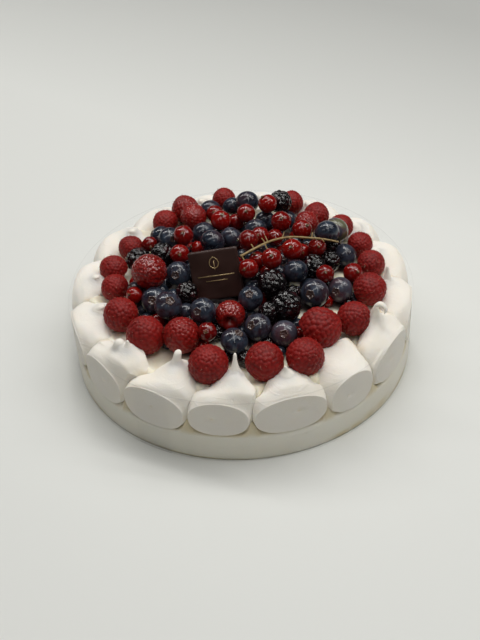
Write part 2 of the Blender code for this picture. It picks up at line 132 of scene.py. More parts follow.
def mesh_object(name, verts, faces, mats, slots=None, smooth=True, attributes=None):
    """verts in mm; faces is a list of index arrays (N,3) and (N,4)."""
    faces = [np.asarray(f, dtype=np.int32) for f in faces if len(f)]
    me = bpy.data.meshes.new(name)
    me.vertices.add(len(verts))
    me.vertices.foreach_set("co", (np.asarray(verts, dtype=np.float64) * MM).astype(np.float32).ravel())
    loops = np.concatenate([f.ravel() for f in faces])
    sizes = np.concatenate([np.full(len(f), f.shape[1]) for f in faces])
    starts = np.concatenate([[0], np.cumsum(sizes)[:-1]])
    me.loops.add(len(loops))
    me.loops.foreach_set("vertex_index", loops.astype(np.int32))
    me.polygons.add(len(sizes))
    me.polygons.foreach_set("loop_start", starts.astype(np.int32))
    for mat in mats:
        me.materials.append(mat)
    if slots is not None:
        me.polygons.foreach_set("material_index", np.asarray(slots, dtype=np.int32))
    me.update(calc_edges=True)
    me.validate()
    for key, values in (attributes or {}).items():
        values = np.asarray(values, dtype=np.float32)
        layer = me.attributes.new(key, "FLOAT", "POINT")
        layer.data.foreach_set("value", values)
    bm = bmesh.new()
    bm.from_mesh(me)
    bmesh.ops.recalc_face_normals(bm, faces=bm.faces[:])
    bm.to_mesh(me)
    bm.free()
    if smooth:
        me.shade_smooth()
    ob = bpy.data.objects.new(name, me)
    bpy.context.scene.collection.objects.link(ob)
    return ob


class Heap:
    """Collects many closed forms into one mesh."""

    def __init__(self):
        self.verts, self.tris, self.quads, self.attr, self.count = [], [], [], {}, 0
        self.tri_slots, self.quad_slots = [], []

    def add(self, verts, tris=None, quads=None, slot=0, **attr):
        verts = np.asarray(verts, float)
        if tris is not None and len(tris):
            self.tris.append(np.asarray(tris) + self.count)
            self.tri_slots.append(np.full(len(tris), slot))
        if quads is not None and len(quads):
            self.quads.append(np.asarray(quads) + self.count)
            self.quad_slots.append(np.full(len(quads), slot))
        self.verts.append(verts)
        for key, value in attr.items():
            value = np.broadcast_to(np.asarray(value, float), (len(verts),))
            self.attr.setdefault(key, []).append(value)
        self.count += len(verts)

    def build(self, name, mats, **kw):
        faces = []
        if self.tris:
            faces.append(np.concatenate(self.tris))
        if self.quads:
            faces.append(np.concatenate(self.quads))
        return mesh_object(name, np.concatenate(self.verts), faces, mats,
                           slots=np.concatenate(self.tri_slots + self.quad_slots),
                           attributes={k: np.concatenate(v) for k, v in self.attr.items()}, **kw)


def grid_quads(rows, cols, closed=True):
    i, j = np.meshgrid(np.arange(rows - 1), np.arange(cols if closed else cols - 1), indexing="ij")
    jn = (j + 1) % cols
    return np.stack([i * cols + j, i * cols + jn, (i + 1) * cols + jn, (i + 1) * cols + j], -1).reshape(-1, 4)


def capped(rings, start_pole=None, end_pole=None):
    """rings: (rows, cols, 3). Returns verts, tris, quads of a closed form."""
    rows, cols, _ = rings.shape
    verts = [rings.reshape(-1, 3)]
    quads = grid_quads(rows, cols)
    tris = []
    n = rows * cols
    j = np.arange(cols)
    jn = (j + 1) % cols
    for pole, base in ((start_pole, 0), (end_pole, (rows - 1) * cols)):
        if pole is None:
            pole = verts[0][base:base + cols].mean(axis=0)
        verts.append(np.asarray(pole, float).reshape(1, 3))
        tris.append(np.stack([base + j, base + jn, np.full(cols, n)], -1))
        n += 1
    return np.concatenate(verts), np.concatenate(tris), quads


def smooth(a, b, x):
    t = np.clip((np.asarray(x, float) - a) / (b - a), 0, 1)
    return t * t * (3 - 2 * t)


def spline(points, samples):
    """Catmull-Rom through the points, evaluated at samples in 0..1."""
    p = np.asarray(points, float)
    n = len(p) - 1
    u = np.clip(np.asarray(samples, float), 0, 1) * n
    i = np.minimum(u.astype(int), n - 1)
    t = (u - i)[:, None]
    p0, p1, p2, p3 = p[np.maximum(i - 1, 0)], p[i], p[i + 1], p[np.minimum(i + 2, n)]
    return 0.5 * (2 * p1 + (p2 - p0) * t + (2 * p0 - 5 * p1 + 4 * p2 - p3) * t ** 2
                  + (3 * p1 - p0 - 3 * p2 + p3) * t ** 3)


def wobble(points, scale, seed):
    """Smooth pseudo-noise in -1..1 from a few sine waves."""
    g = np.random.default_rng(seed)
    out = np.zeros(len(points))
    for _ in range(7):
        k = g.normal(size=3) * scale
        out += np.sin(points @ k + g.uniform(0, 6.28))
    return out / 4.0


def tube(points, radii, sides=10, squash=1.0):
    points = np.asarray(points, float)
    radii = np.broadcast_to(np.asarray(radii, float), (len(points),))
    rings = np.zeros((len(points), sides, 3))
    for i, p in enumerate(points):
        along = points[min(i + 1, len(points) - 1)] - points[max(i - 1, 0)]
        along /= np.linalg.norm(along)
        u = np.cross(along, (0.13, 0.21, 0.97))
        u /= np.linalg.norm(u)
        w = np.cross(along, u)
        a = np.linspace(0, 2 * math.pi, sides, endpoint=False)
        rings[i] = p + (np.outer(np.cos(a), u) + np.outer(np.sin(a), w) * squash) * radii[i]
    return capped(rings)


def node_middle(name, axis, lift, radius):
    """Middle of a berry's CAD node, from the mean of its corners."""
    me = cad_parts[name].data
    co = np.empty(len(me.vertices) * 3, np.float32)
    me.vertices.foreach_get("co", co)
    co = np.unique(np.round(co.reshape(-1, 3).astype(float) / MM, 3), axis=0)
    return co.mean(axis=0) - axis * lift * radius


def cream_height(r):
    r = np.minimum(r, 78.0)
    return 38.0 + 12.0 * np.cos(math.pi * r / 156.0) ** 2


# ----------------------------------------------------------------- materials
def new_material(name):
    mat = bpy.data.materials.new(name)
    mat.use_nodes = True
    tree = mat.node_tree
    bsdf = tree.nodes["Principled BSDF"]
    return mat, tree, bsdf


def node(tree, kind, **settings):
    n = tree.nodes.new(kind)
    for key, value in settings.items():
        setattr(n, key, value)
    return n


def noise(tree, scale, detail=3.0, rough=0.5, coords="Object", distortion=0.0):
    tc = node(tree, "ShaderNodeTexCoord")
    n = node(tree, "ShaderNodeTexNoise")
    n.inputs["Scale"].default_value = scale
    n.inputs["Detail"].default_value = detail
    n.inputs["Roughness"].default_value = rough
    n.inputs["Distortion"].default_value = distortion
    tree.links.new(tc.outputs[coords], n.inputs["Vector"])
    return n.outputs["Fac"]


def ramp(tree, source, stops):
    r = node(tree, "ShaderNodeValToRGB")
    els = r.color_ramp.elements
    while len(els) < len(stops):
        els.new(0.5)
    for el, (pos, col) in zip(els, stops):
        el.position = pos
        el.color = (*col, 1.0) if len(col) == 3 else col
    tree.links.new(source, r.inputs["Fac"])
    return r.outputs["Color"]


def grey(v):
    return (v, v, v)


def mix(tree, fac, a, b, blend="MIX"):
    m = node(tree, "ShaderNodeMix", data_type="RGBA", blend_type=blend)
    for socket, value in ((m.inputs["Factor"], fac), (m.inputs["A"], a), (m.inputs["B"], b)):
        if isinstance(value, bpy.types.NodeSocket):
            tree.links.new(value, socket)
        elif isinstance(value, (int, float)):
            socket.default_value = value
        else:
            socket.default_value = (*value, 1.0)
    return m.outputs["Result"]


def math_node(tree, op, a, b=0.0, clamp=False):
    m = node(tree, "ShaderNodeMath", operation=op, use_clamp=clamp)
    for socket, value in ((m.inputs[0], a), (m.inputs[1], b)):
        if isinstance(value, bpy.types.NodeSocket):
            tree.links.new(value, socket)
        else:
            socket.default_value = value
    return m.outputs[0]


def attribute(tree, name):
    a = node(tree, "ShaderNodeAttribute", attribute_name=name)
    return a.outputs["Fac"]


def bump(tree, bsdf, height, strength, distance):
    b = node(tree, "ShaderNodeBump")
    b.inputs["Strength"].default_value = strength
    b.inputs["Distance"].default_value = distance
    tree.links.new(height, b.inputs["Height"])
    tree.links.new(b.outputs["Normal"], bsdf.inputs["Normal"])


def sss(bsdf, weight, radius, scale):
    bsdf.inputs["Subsurface Weight"].default_value = weight
    bsdf.inputs["Subsurface Radius"].default_value = radius
    bsdf.inputs["Subsurface Scale"].default_value = scale


def meringue_material(name, low, high, syrup=(0.64, 0.52, 0.31), amount=0.62, soft=0.35):
    mat, tree, bsdf = new_material(name)
    broad = noise(tree, 28.0, 2.0)
    fine = noise(tree, 900.0, 4.0, 0.6)
    base = ramp(tree, broad, [(0.35, low), (0.65, high)])
    z = node(tree, "ShaderNodeSeparateXYZ")
    tc = node(tree, "ShaderNodeTexCoord")
    tree.links.new(tc.outputs["Object"], z.inputs[0])
    # sugar syrup weeping through the side, a warm tint here and there
    patch = noise(tree, 22.0, 3.0, 0.55)
    tint = ramp(tree, patch, [(0.52, grey(0.0)), (0.72, grey(0.22))])
    base = mix(tree, tint, base, (0.80, 0.715, 0.55))
    # warmer and darker where the crease attribute is set: along the creases between the kisses, and on the disc's top
    # edge and stains
    crease_tint = attribute(tree, "crease")
    base = mix(tree, math_node(tree, "MULTIPLY", crease_tint, amount), base, syrup)
    # painted shade: the pressed faces are greyed and darkened, together with the grey of the film over them
    base = mix(tree, math_node(tree, "MULTIPLY", attribute(tree, "pressed"), 0.5), base, (0.70, 0.665, 0.60))
    tree.links.new(base, bsdf.inputs["Base Color"])
    rough = ramp(tree, fine, [(0.3, grey(0.62)), (0.7, grey(0.80))])
    tree.links.new(rough, bsdf.inputs["Roughness"])
    bsdf.inputs["Specular IOR Level"].default_value = 0.35
    sss(bsdf, soft, (1.0, 0.85, 0.65), 0.0022)
    coarse = noise(tree, 170.0, 4.0, 0.55)
    height = math_node(tree, "ADD", math_node(tree, "MULTIPLY", coarse, 0.7), math_node(tree, "MULTIPLY", fine, 0.3))
    # a few burst bubbles, in drifts
    tc = node(tree, "ShaderNodeTexCoord")
    cells = node(tree, "ShaderNodeTexVoronoi")
    cells.inputs["Scale"].default_value = 330.0
    tree.links.new(tc.outputs["Object"], cells.inputs["Vector"])
    pit = ramp(tree, cells.outputs["Distance"], [(0.12, grey(1.0)), (0.24, grey(0.0))])
    where = ramp(tree, noise(tree, 75.0, 2.0), [(0.60, grey(0.0)), (0.68, grey(1.0))])
    pit = math_node(tree, "MULTIPLY", pit, where)
    height = math_node(tree, "SUBTRACT", height, math_node(tree, "MULTIPLY", pit, 0.9))
    # fine level wrinkles where the skin was pressed and pulled
    flatten = node(tree, "ShaderNodeMapping")
    flatten.inputs["Scale"].default_value = (60.0, 60.0, 900.0)
    tree.links.new(tc.outputs["Object"], flatten.inputs["Vector"])
    folds = node(tree, "ShaderNodeTexNoise")
    folds.inputs["Scale"].default_value = 1.0
    folds.inputs["Detail"].default_value = 2.0
    tree.links.new(flatten.outputs[0], folds.inputs["Vector"])
    fold = ramp(tree, folds.outputs["Fac"], [(0.56, grey(0.0)), (0.66, grey(1.0))])
    near_edge = ramp(tree, math_node(tree, "MULTIPLY", z.outputs[2], 10.0), [(0.44, grey(1.0)), (0.465, grey(0.15))])
    height = math_node(tree, "ADD", height, math_node(tree, "MULTIPLY", math_node(tree, "MULTIPLY", fold, near_edge), 0.3))
    bump(tree, bsdf, height, 0.3, 0.0010)
    return mat


def cream_material():
    mat, tree, bsdf = new_material("cream_fill")
    broad = noise(tree, 60.0, 3.0)
    base = ramp(tree, broad, [(0.3, (0.85, 0.79, 0.61)), (0.7, (0.90, 0.855, 0.71))])
    # painted shade: a near-black colour laid on the cream in the gaps between the fruit
    painted_gap_shade = attribute(tree, "painted_gap_shade")
    gap_shade_amount = math_node(tree, "MULTIPLY", painted_gap_shade, ramp(tree, noise(tree, 130.0, 3.0), [(0.25, grey(0.8)), (0.5, grey(1.0))]))
    tint_patches = ramp(tree, noise(tree, 45.0, 2.0), [(0.35, (0.045, 0.004, 0.008)), (0.6, (0.012, 0.004, 0.008))])
    base = mix(tree, gap_shade_amount, base, tint_patches)
    tree.links.new(base, bsdf.inputs["Base Color"])
    fine = noise(tree, 420.0, 3.0)
    tree.links.new(ramp(tree, fine, [(0.3, grey(0.35)), (0.7, grey(0.5))]), bsdf.inputs["Roughness"])
    sss(bsdf, 0.35, (1.0, 0.8, 0.5), 0.002)
    bump(tree, bsdf, fine, 0.2, 0.0006)
    return mat


def raspberry_material():
    mat, tree, bsdf = new_material("raspberry_skin")
    tone = attribute(tree, "tone")
    depth = attribute(tree, "depth")          # 1 on top of a drupelet, 0 in a crease
    base = ramp(tree, tone, [(0.0, (0.135, 0.0032, 0.0023)), (0.5, (0.195, 0.0050, 0.0036)), (1.0, (0.275, 0.0080, 0.0055))])
    # painted shade: the colour is darker in the creases between the drupelets than on their tops
    deep = ramp(tree, depth, [(0.0, (0.125, 0.0030, 0.0023)), (0.55, (0.205, 0.0055, 0.0040)), (1.0, (0.270, 0.0105, 0.0075))])
    base = mix(tree, 0.5, base, deep)
    patch = ramp(tree, noise(tree, 90.0, 2.0), [(0.40, grey(0.0)), (0.62, grey(0.45))])
    base = mix(tree, patch, base, (0.30, 0.0080, 0.0055))
    fine = noise(tree, 1300.0, 3.0, 0.6)
    # pale specks on the drupelet tops: partly the short hairs, partly painted highlights
    hair = ramp(tree, fine, [(0.60, grey(0.0)), (0.74, grey(0.30))])
    base = mix(tree, math_node(tree, "MULTIPLY", hair, depth), base, (0.45, 0.14, 0.115))
    tree.links.new(base, bsdf.inputs["Base Color"])
    wet = attribute(tree, "wet")
    rough = ramp(tree, wet, [(0.0, grey(0.50)), (1.0, grey(0.22))])
    tree.links.new(rough, bsdf.inputs["Roughness"])
    bsdf.inputs["Specular IOR Level"].default_value = 0.28
    tree.links.new(math_node(tree, "MULTIPLY", wet, 0.8), bsdf.inputs["Coat Weight"])
    bsdf.inputs["Coat Roughness"].default_value = 0.06
    sss(bsdf, 0.30, (1.0, 0.10, 0.06), 0.0014)
    bump(tree, bsdf, fine, 0.18, 0.0003)
    return mat


def blueberry_material():
    mat, tree, bsdf = new_material("blueberry_skin")
    tone = attribute(tree, "tone")
    crown = attribute(tree, "crown")
    skin = ramp(tree, tone, [(0.0, (0.006, 0.006, 0.012)), (0.5, (0.010, 0.010, 0.018)), (1.0, (0.024, 0.012, 0.018))])
    patch = noise(tree, 240.0, 4.0, 0.62, distortion=0.6)
    bloom = ramp(tree, patch, [(0.38, grey(0.02)), (0.68, grey(0.62))])
    skin = mix(tree, bloom, skin, (0.058, 0.086, 0.128))
    blush = ramp(tree, noise(tree, 75.0, 2.0), [(0.52, grey(0.0)), (0.70, grey(0.5))])
    skin = mix(tree, blush, skin, (0.055, 0.020, 0.026))
    # a few are not quite ripe: mottled violet, or grey with a green patch
    unripe = ramp(tree, math_node(tree, "SUBTRACT", tone, 1.0), [(0.0, grey(0.0)), (0.6, grey(1.0))])
    spots = noise(tree, 110.0, 2.0)
    mottle = ramp(tree, spots, [(0.42, (0.075, 0.080, 0.110)), (0.56, (0.135, 0.060, 0.075))])
    green = math_node(tree, "MULTIPLY", ramp(tree, spots, [(0.50, grey(0.0)), (0.58, grey(1.0))]),
                      ramp(tree, math_node(tree, "SUBTRACT", tone, 1.0), [(0.3, grey(0.0)), (0.4, grey(1.0))]))
    mottle = mix(tree, green, mottle, (0.150, 0.150, 0.085))
    skin = mix(tree, unripe, skin, mottle)
    skin = mix(tree, crown, skin, (0.105, 0.056, 0.038))
    tree.links.new(skin, bsdf.inputs["Base Color"])
    tree.links.new(ramp(tree, patch, [(0.35, grey(0.22)), (0.7, grey(0.48))]), bsdf.inputs["Roughness"])
    bsdf.inputs["Specular IOR Level"].default_value = 0.15
    bsdf.inputs["Coat Weight"].default_value = 0.9
    bsdf.inputs["Coat Roughness"].default_value = 0.035
    fine = noise(tree, 420.0, 2.0)
    bump(tree, bsdf, fine, 0.10, 0.0004)
    return mat


def bramble_material():
    mat, tree, bsdf = new_material("bramble_skin")
    tone = attribute(tree, "tone")
    base = ramp(tree, tone, [(0.0, (0.0015, 0.0010, 0.0012)), (0.8, (0.004, 0.0015, 0.0025)), (1.0, (0.030, 0.004, 0.006))])
    tree.links.new(base, bsdf.inputs["Base Color"])
    bsdf.inputs["Roughness"].default_value = 0.3
    bsdf.inputs["Specular IOR Level"].default_value = 0.1
    bsdf.inputs["Coat Weight"].default_value = 1.0
    bsdf.inputs["Coat Roughness"].default_value = 0.015
    fine = noise(tree, 500.0, 2.0)
    bump(tree, bsdf, fine, 0.10, 0.0004)
    return mat


def currant_material():
    mat, tree, bsdf = new_material("currant_skin")
    tone = attribute(tree, "tone")
    band = attribute(tree, "vein")
    crown = attribute(tree, "crown")
    base = ramp(tree, tone, [(0.0, (0.13, 0.0015, 0.0012)), (1.0, (0.24, 0.0035, 0.0022))])
    base = mix(tree, math_node(tree, "MULTIPLY", band, 0.30), base, (0.38, 0.016, 0.010))
    base = mix(tree, crown, base, (0.16, 0.10, 0.055))
    tree.links.new(base, bsdf.inputs["Base Color"])
    bsdf.inputs["Roughness"].default_value = 0.25
    bsdf.inputs["Specular IOR Level"].default_value = 0.1
    bsdf.inputs["Coat Weight"].default_value = 1.0
    bsdf.inputs["Coat Roughness"].default_value = 0.025
    sss(bsdf, 0.45, (1.0, 0.06, 0.03), 0.0025)
    fine = noise(tree, 300.0, 2.0)
    bump(tree, bsdf, fine, 0.09, 0.0005)
    return mat


def stem_material():
    mat, tree, bsdf = new_material("stem_bark")
    streak = noise(tree, 700.0, 3.0)
    base = ramp(tree, streak, [(0.3, (0.20, 0.125, 0.040)), (0.7, (0.37, 0.26, 0.105))])
    tree.links.new(base, bsdf.inputs["Base Color"])
    tree.links.new(ramp(tree, streak, [(0.3, grey(0.4)), (0.7, grey(0.6))]), bsdf.inputs["Roughness"])
    bump(tree, bsdf, streak, 0.3, 0.0003)
    return mat


def hair_material():
    mat, tree, bsdf = new_material("raspberry_hair")
    base = ramp(tree, noise(tree, 300.0, 2.0), [(0.35, (0.40, 0.13, 0.09)), (0.65, (0.58, 0.34, 0.24))])
    tree.links.new(base, bsdf.inputs["Base Color"])
    bsdf.inputs["Roughness"].default_value = 0.5
    return mat


def chocolate_material():
    mat, tree, bsdf = new_material("plaque_chocolate")
    broad = noise(tree, 90.0, 3.0, 0.5, distortion=0.4)
    base = ramp(tree, broad, [(0.3, (0.032, 0.014, 0.011)), (0.7, (0.050, 0.022, 0.017))])
    tree.links.new(base, bsdf.inputs["Base Color"])
    tree.links.new(ramp(tree, broad, [(0.3, grey(0.30)), (0.7, grey(0.42))]), bsdf.inputs["Roughness"])
    fine = noise(tree, 1200.0, 3.0)
    bump(tree, bsdf, fine, 0.06, 0.0003)
    return mat


def gold_material():
    mat, tree, bsdf = new_material("plaque_gold")
    fine = noise(tree, 1600.0, 3.0)
    base = ramp(tree, fine, [(0.3, (0.46, 0.32, 0.15)), (0.7, (0.62, 0.46, 0.24))])
    tree.links.new(base, bsdf.inputs["Base Color"])
    tree.links.new(ramp(tree, fine, [(0.3, grey(0.30)), (0.7, grey(0.45))]), bsdf.inputs["Roughness"])
    bsdf.inputs["Metallic"].default_value = 0.5
    return mat


def film_material(name, colour, alpha):
    mat, tree, bsdf = new_material(name)
    fine = noise(tree, 8.0, 2.0)
    base = ramp(tree, fine, [(0.3, colour), (0.7, tuple(c * 1.1 for c in colour))])
    tree.links.new(base, bsdf.inputs["Base Color"])
    bsdf.inputs["Roughness"].default_value = 0.07
    bsdf.inputs["IOR"].default_value = 1.45
    bsdf.inputs["Alpha"].default_value = alpha
    return mat


def floor_material():
    mat, tree, bsdf = new_material("studio_floor")
    base = ramp(tree, noise(tree, 0.8, 2.0), [(0.3, (0.715, 0.725, 0.70)), (0.7, (0.735, 0.745, 0.72))])
    # the sheet runs into shade at the back
    tc = node(tree, "ShaderNodeTexCoord")
    xyz = node(tree, "ShaderNodeSeparateXYZ")
    tree.links.new(tc.outputs["Object"], xyz.inputs[0])
    back = math_node(tree, "ADD", math_node(tree, "MULTIPLY", xyz.outputs[1], 0.8),
                     math_node(tree, "MULTIPLY", xyz.outputs[0], 0.6))
    shade = ramp(tree, back, [(0.17, grey(1.0)), (0.46, grey(0.68))])
    base = mix(tree, 1.0, base, shade, "MULTIPLY")
    tree.links.new(base, bsdf.inputs["Base Color"])
    bsdf.inputs["Roughness"].default_value = 0.7
    return mat


MERINGUE = meringue_material("meringue_skin", (0.885, 0.840, 0.760), (0.915, 0.876, 0.805))
# painted shade: a darker copy of the meringue for the disc's shaded side, together with the grey of the film over it
DISC = meringue_material("meringue_disc_skin", (0.800, 0.772, 0.672), (0.850, 0.822, 0.728), (0.58, 0.46, 0.20), 0.85)
POINT = meringue_material("meringue_point_skin", (0.885, 0.840, 0.760), (0.915, 0.876, 0.805), soft=0.0)
CREAM = cream_material()
RASPBERRY = raspberry_material()
BLUEBERRY = blueberry_material()
BRAMBLE = bramble_material()
CURRANT = currant_material()
STEM_MAT = stem_material()
HAIR = hair_material()
CHOCOLATE = chocolate_material()
GOLD = gold_material()
FILM = film_material("film_clear", (0.55, 0.55, 0.53), 0.008)
# darker, more opaque edge material of the film: its own edges, and at the foot painted contact shade
FILM_EDGE = film_material("film_edge", (0.34, 0.34, 0.32), 0.05)


# -------------------------------------------------------------- camera, light
def camera():
    d, e, pitch, yaw, roll = 0.6766, 0.7110, 0.6926, -0.0026, -0.0584
    c = Vector((0, -d * math.cos(e), d * math.sin(e)))
    f = Vector((math.sin(yaw) * math.cos(pitch), math.cos(yaw) * math.cos(pitch), -math.sin(pitch)))
    right = f.cross(Vector((0, 0, 1))).normalized()
    up = right.cross(f)
    rt = right * math.cos(roll) + up * math.sin(roll)
    upr = up * math.cos(roll) - right * math.sin(roll)
    data = bpy.data.cameras.new("camera")
    data.lens = 62.86
    data.sensor_width = 36.0
    data.sensor_fit = "AUTO"
    data.clip_start, data.clip_end = 0.01, 50.0
    ob = bpy.data.objects.new("camera", data)
    m = Matrix((rt, upr, -f)).transposed().to_4x4()
    m.translation = c
    ob.matrix_world = m
    bpy.context.scene.collection.objects.link(ob)
    bpy.context.scene.camera = ob


def area(name, at, target, size, energy, colour=(1, 1, 1)):
    data = bpy.data.lights.new(name, "AREA")
    data.shape = "RECTANGLE"
    data.size, data.size_y = size
    data.energy = energy
    data.color = colour
    ob = bpy.data.objects.new(name, data)
    ob.location = at
    ob.rotation_euler = (Vector(target) - Vector(at)).to_track_quat("-Z", "Y").to_euler()
    bpy.context.scene.collection.objects.link(ob)


def studio():
    # a soft bank of strip lights overhead: each glossy berry mirrors the strips
    for k, power in enumerate((2.5, 2.6, 3.8, 6.3, 4.8, 2.7)):
        y = -0.42 + 0.22 * k
        area("strip_%d" % k, (0.10, y, 1.15), (0.02, y * 0.35, 0), (3.4, 0.03), power * 1.27, (1.0, 0.99, 0.965))
    world = bpy.data.worlds.new("studio")
    world.use_nodes = True
    bg = world.node_tree.nodes["Background"]
    bg.inputs[0].default_value = (0.97, 0.985, 1.0, 1.0)
    bg.inputs[1].default_value = 0.02
    bpy.context.scene.world = world
    bpy.context.scene.view_settings.view_transform = "Standard"
    bpy.context.scene.view_settings.look = "None"
    bpy.context.scene.view_settings.exposure = 0.0
    bpy.context.scene.view_settings.gamma = 1.0
    me = bpy.data.meshes.new("floor")
    s = 4.0
    me.from_pydata([(-s, -s, 0), (s, -s, 0), (s, s, 0), (-s, s, 0)], [], [(0, 1, 2, 3)])
    me.materials.append(floor_material())
    floor = bpy.data.objects.new("floor", me)
    bpy.context.scene.collection.objects.link(floor)


# -------------------------------------------------------------------- kisses
def kiss(index):
    start, end = CREASES[index], CREASES[(index + 1) % 16]
    if end < start:
        end += 360.0
    tip = list(TIPS[index])
    if tip[0] < start - 1.0:
        tip[0] += 360.0
    return start, end, tip


# The pulled point of each kiss: where its foot stands (azimuth, radius), its
# tip (azimuth, radius, height), how far it flares outwards against sideways, and
# its outline as (drop below the tip, radius).
SLIM = ((0.25, 0.55), (0.8, 0.85), (2.0, 1.0), (4.0, 1.3), (6.3, 1.9), (8.4, 2.7), (10.2, 3.9), (11.6, 5.4), (12.8, 7.2),
        (14.2, 9.6), (16.3, 12.0), (20.0, 14.5), (28.0, 17.0))
THUMB = ((0.25, 1.2), (0.8, 1.8), (1.8, 2.1), (3.6, 2.25), (5.2, 2.6), (6.8, 3.4), (8.2, 4.8), (9.4, 6.4), (10.6, 8.3),
         (12.4, 10.8), (15.6, 13.5), (24.0, 17.0))
PEAK = ((0.2, 0.5), (0.8, 0.85), (1.8, 1.2), (3.1, 2.0), (4.3, 3.2), (5.6, 4.9), (7.0, 7.2), (8.5, 10.0), (12.0, 13.0),
        (20.0, 16.0))
LOBE = ((0.3, 1.5), (1.0, 2.3), (2.2, 3.0), (3.8, 3.5), (5.6, 4.1), (7.2, 5.2), (8.4, 7.0), (9.6, 9.5), (12.5, 12.0),
        (19.0, 16.0))
STUB = ((0.3, 1.4), (1.0, 2.3), (2.0, 3.2), (3.0, 4.4), (4.1, 6.2), (5.6, 8.8), (8.0, 11.5), (16.0, 16.0))
HATS = {9: [(219.6, 87.2, 219.8, 86.6, 53.2, 1.1, LOBE), (223.0, 85.2, 222.7, 84.4, 54.0, 1.1, PEAK)],
        10: [(243.2, 80.8, 243.6, 77.4, 55.4, 1.6, THUMB)],
        11: [(266.2, 82.2, 266.5, 77.4, 58.3, 1.65, SLIM)],
        12: [(284.6, 86.2, 284.2, 85.4, 52.2, 1.15, PEAK)],
        15: [(354.5, 84.5, 355.6, 84.6, 55.4, 1.3, SLIM)]}
# How much higher or lower the foot of each kiss is pressed on the disc.
FOOT = [0.3, -0.4, 0.5, 0.0, -0.3, 0.4, 0.2, -0.4, 0.3, -1.6, -0.9, 1.1, 0.2, -0.3, 0.3, 0.0]


# Kiss with the curl: stations from the wall to the tip, each with the radius
# and height of the upper line, of the lower line, and the half-width.
CURL = [(98.45, 42.6, 98.45, 17.8, 18.6), (97.2, 43.3, 95.5, 17.3, 20.5), (95.6, 44.0, 90.0, 17.6, 23.0),
        (93.8, 44.8, 84.0, 21.5, 24.0), (92.2, 45.5, 80.2, 29.0, 21.5), (90.8, 46.5, 79.6, 37.0, 15.5),
        (89.4, 47.9, 80.0, 43.0, 9.0), (87.9, 50.0, 81.2, 48.5, 5.0), (86.6, 52.6, 82.6, 53.4, 3.2),
        (86.2, 54.9, 84.0, 57.2, 2.3), (86.9, 56.9, 86.2, 59.7, 1.9), (88.4, 57.4, 88.8, 60.0, 1.7),
        (89.8, 56.3, 91.2, 57.9, 1.5), (90.0, 54.6, 91.6, 54.9, 1.25), (89.5, 53.2, 90.5, 53.0, 0.9)]


def hats_of(index):
    tip = TIPS[index]
    if tip[4] > 4.5 or tip[5]:
        return []
    return HATS.get(index, [(tip[0], tip[1], tip[0] + 1.0, tip[1] - 1.0, tip[2] + 2.8, 1.2, STUB)])


def disc_lift(az):
    """How far the top edge of the disc is up or down at an azimuth."""
    mids = [(CREASES[k] + (CREASES[(k + 1) % 16] - CREASES[k]) % 360 / 2) % 360 for k in range(16)]
    order = np.argsort(mids)
    at = np.array(mids)[order]
    value = np.array(FOOT)[order]
    return np.interp(np.asarray(az) % 360, np.concatenate([at - 360, at, at + 360]), np.tile(value, 3))


def hat_axis(hat, z):
    foot, tip = polar(hat[0], hat[1], 46.5), polar(hat[2], hat[3], hat[4])
    t = np.clip((hat[4] - z) / max(hat[4] - 46.5, 1.0), 0, 1) ** 0.85
    return tip[:2] + (foot - tip)[:2] * np.asarray(t)[..., None]


def hat_height(hat, x, y):
    """Height of the flare of a pulled point over (x, y), up to where the point
    gets thin."""
    out = polar(hat[0], 1.0)[:2]
    drops, radii = zip(*hat[6])
    z = np.full(x.shape, 46.5)
    for _ in range(6):
        centre = hat_axis(hat, z)
        ahead = (x - centre[..., 0]) * out[0] + (y - centre[..., 1]) * out[1]
        across = -(x - centre[..., 0]) * out[1] + (y - centre[..., 1]) * out[0]
        rho = np.hypot(ahead, across)
        rho = rho / (1 + (hat[5] - 1) * smooth(2.0, 6.0, rho) * np.clip(ahead / np.maximum(rho, 0.01), 0, 1) ** 2)
        z = z * 0.4 + 0.6 * (hat[4] - np.interp(np.maximum(rho, 2.4), radii, drops))
    return z


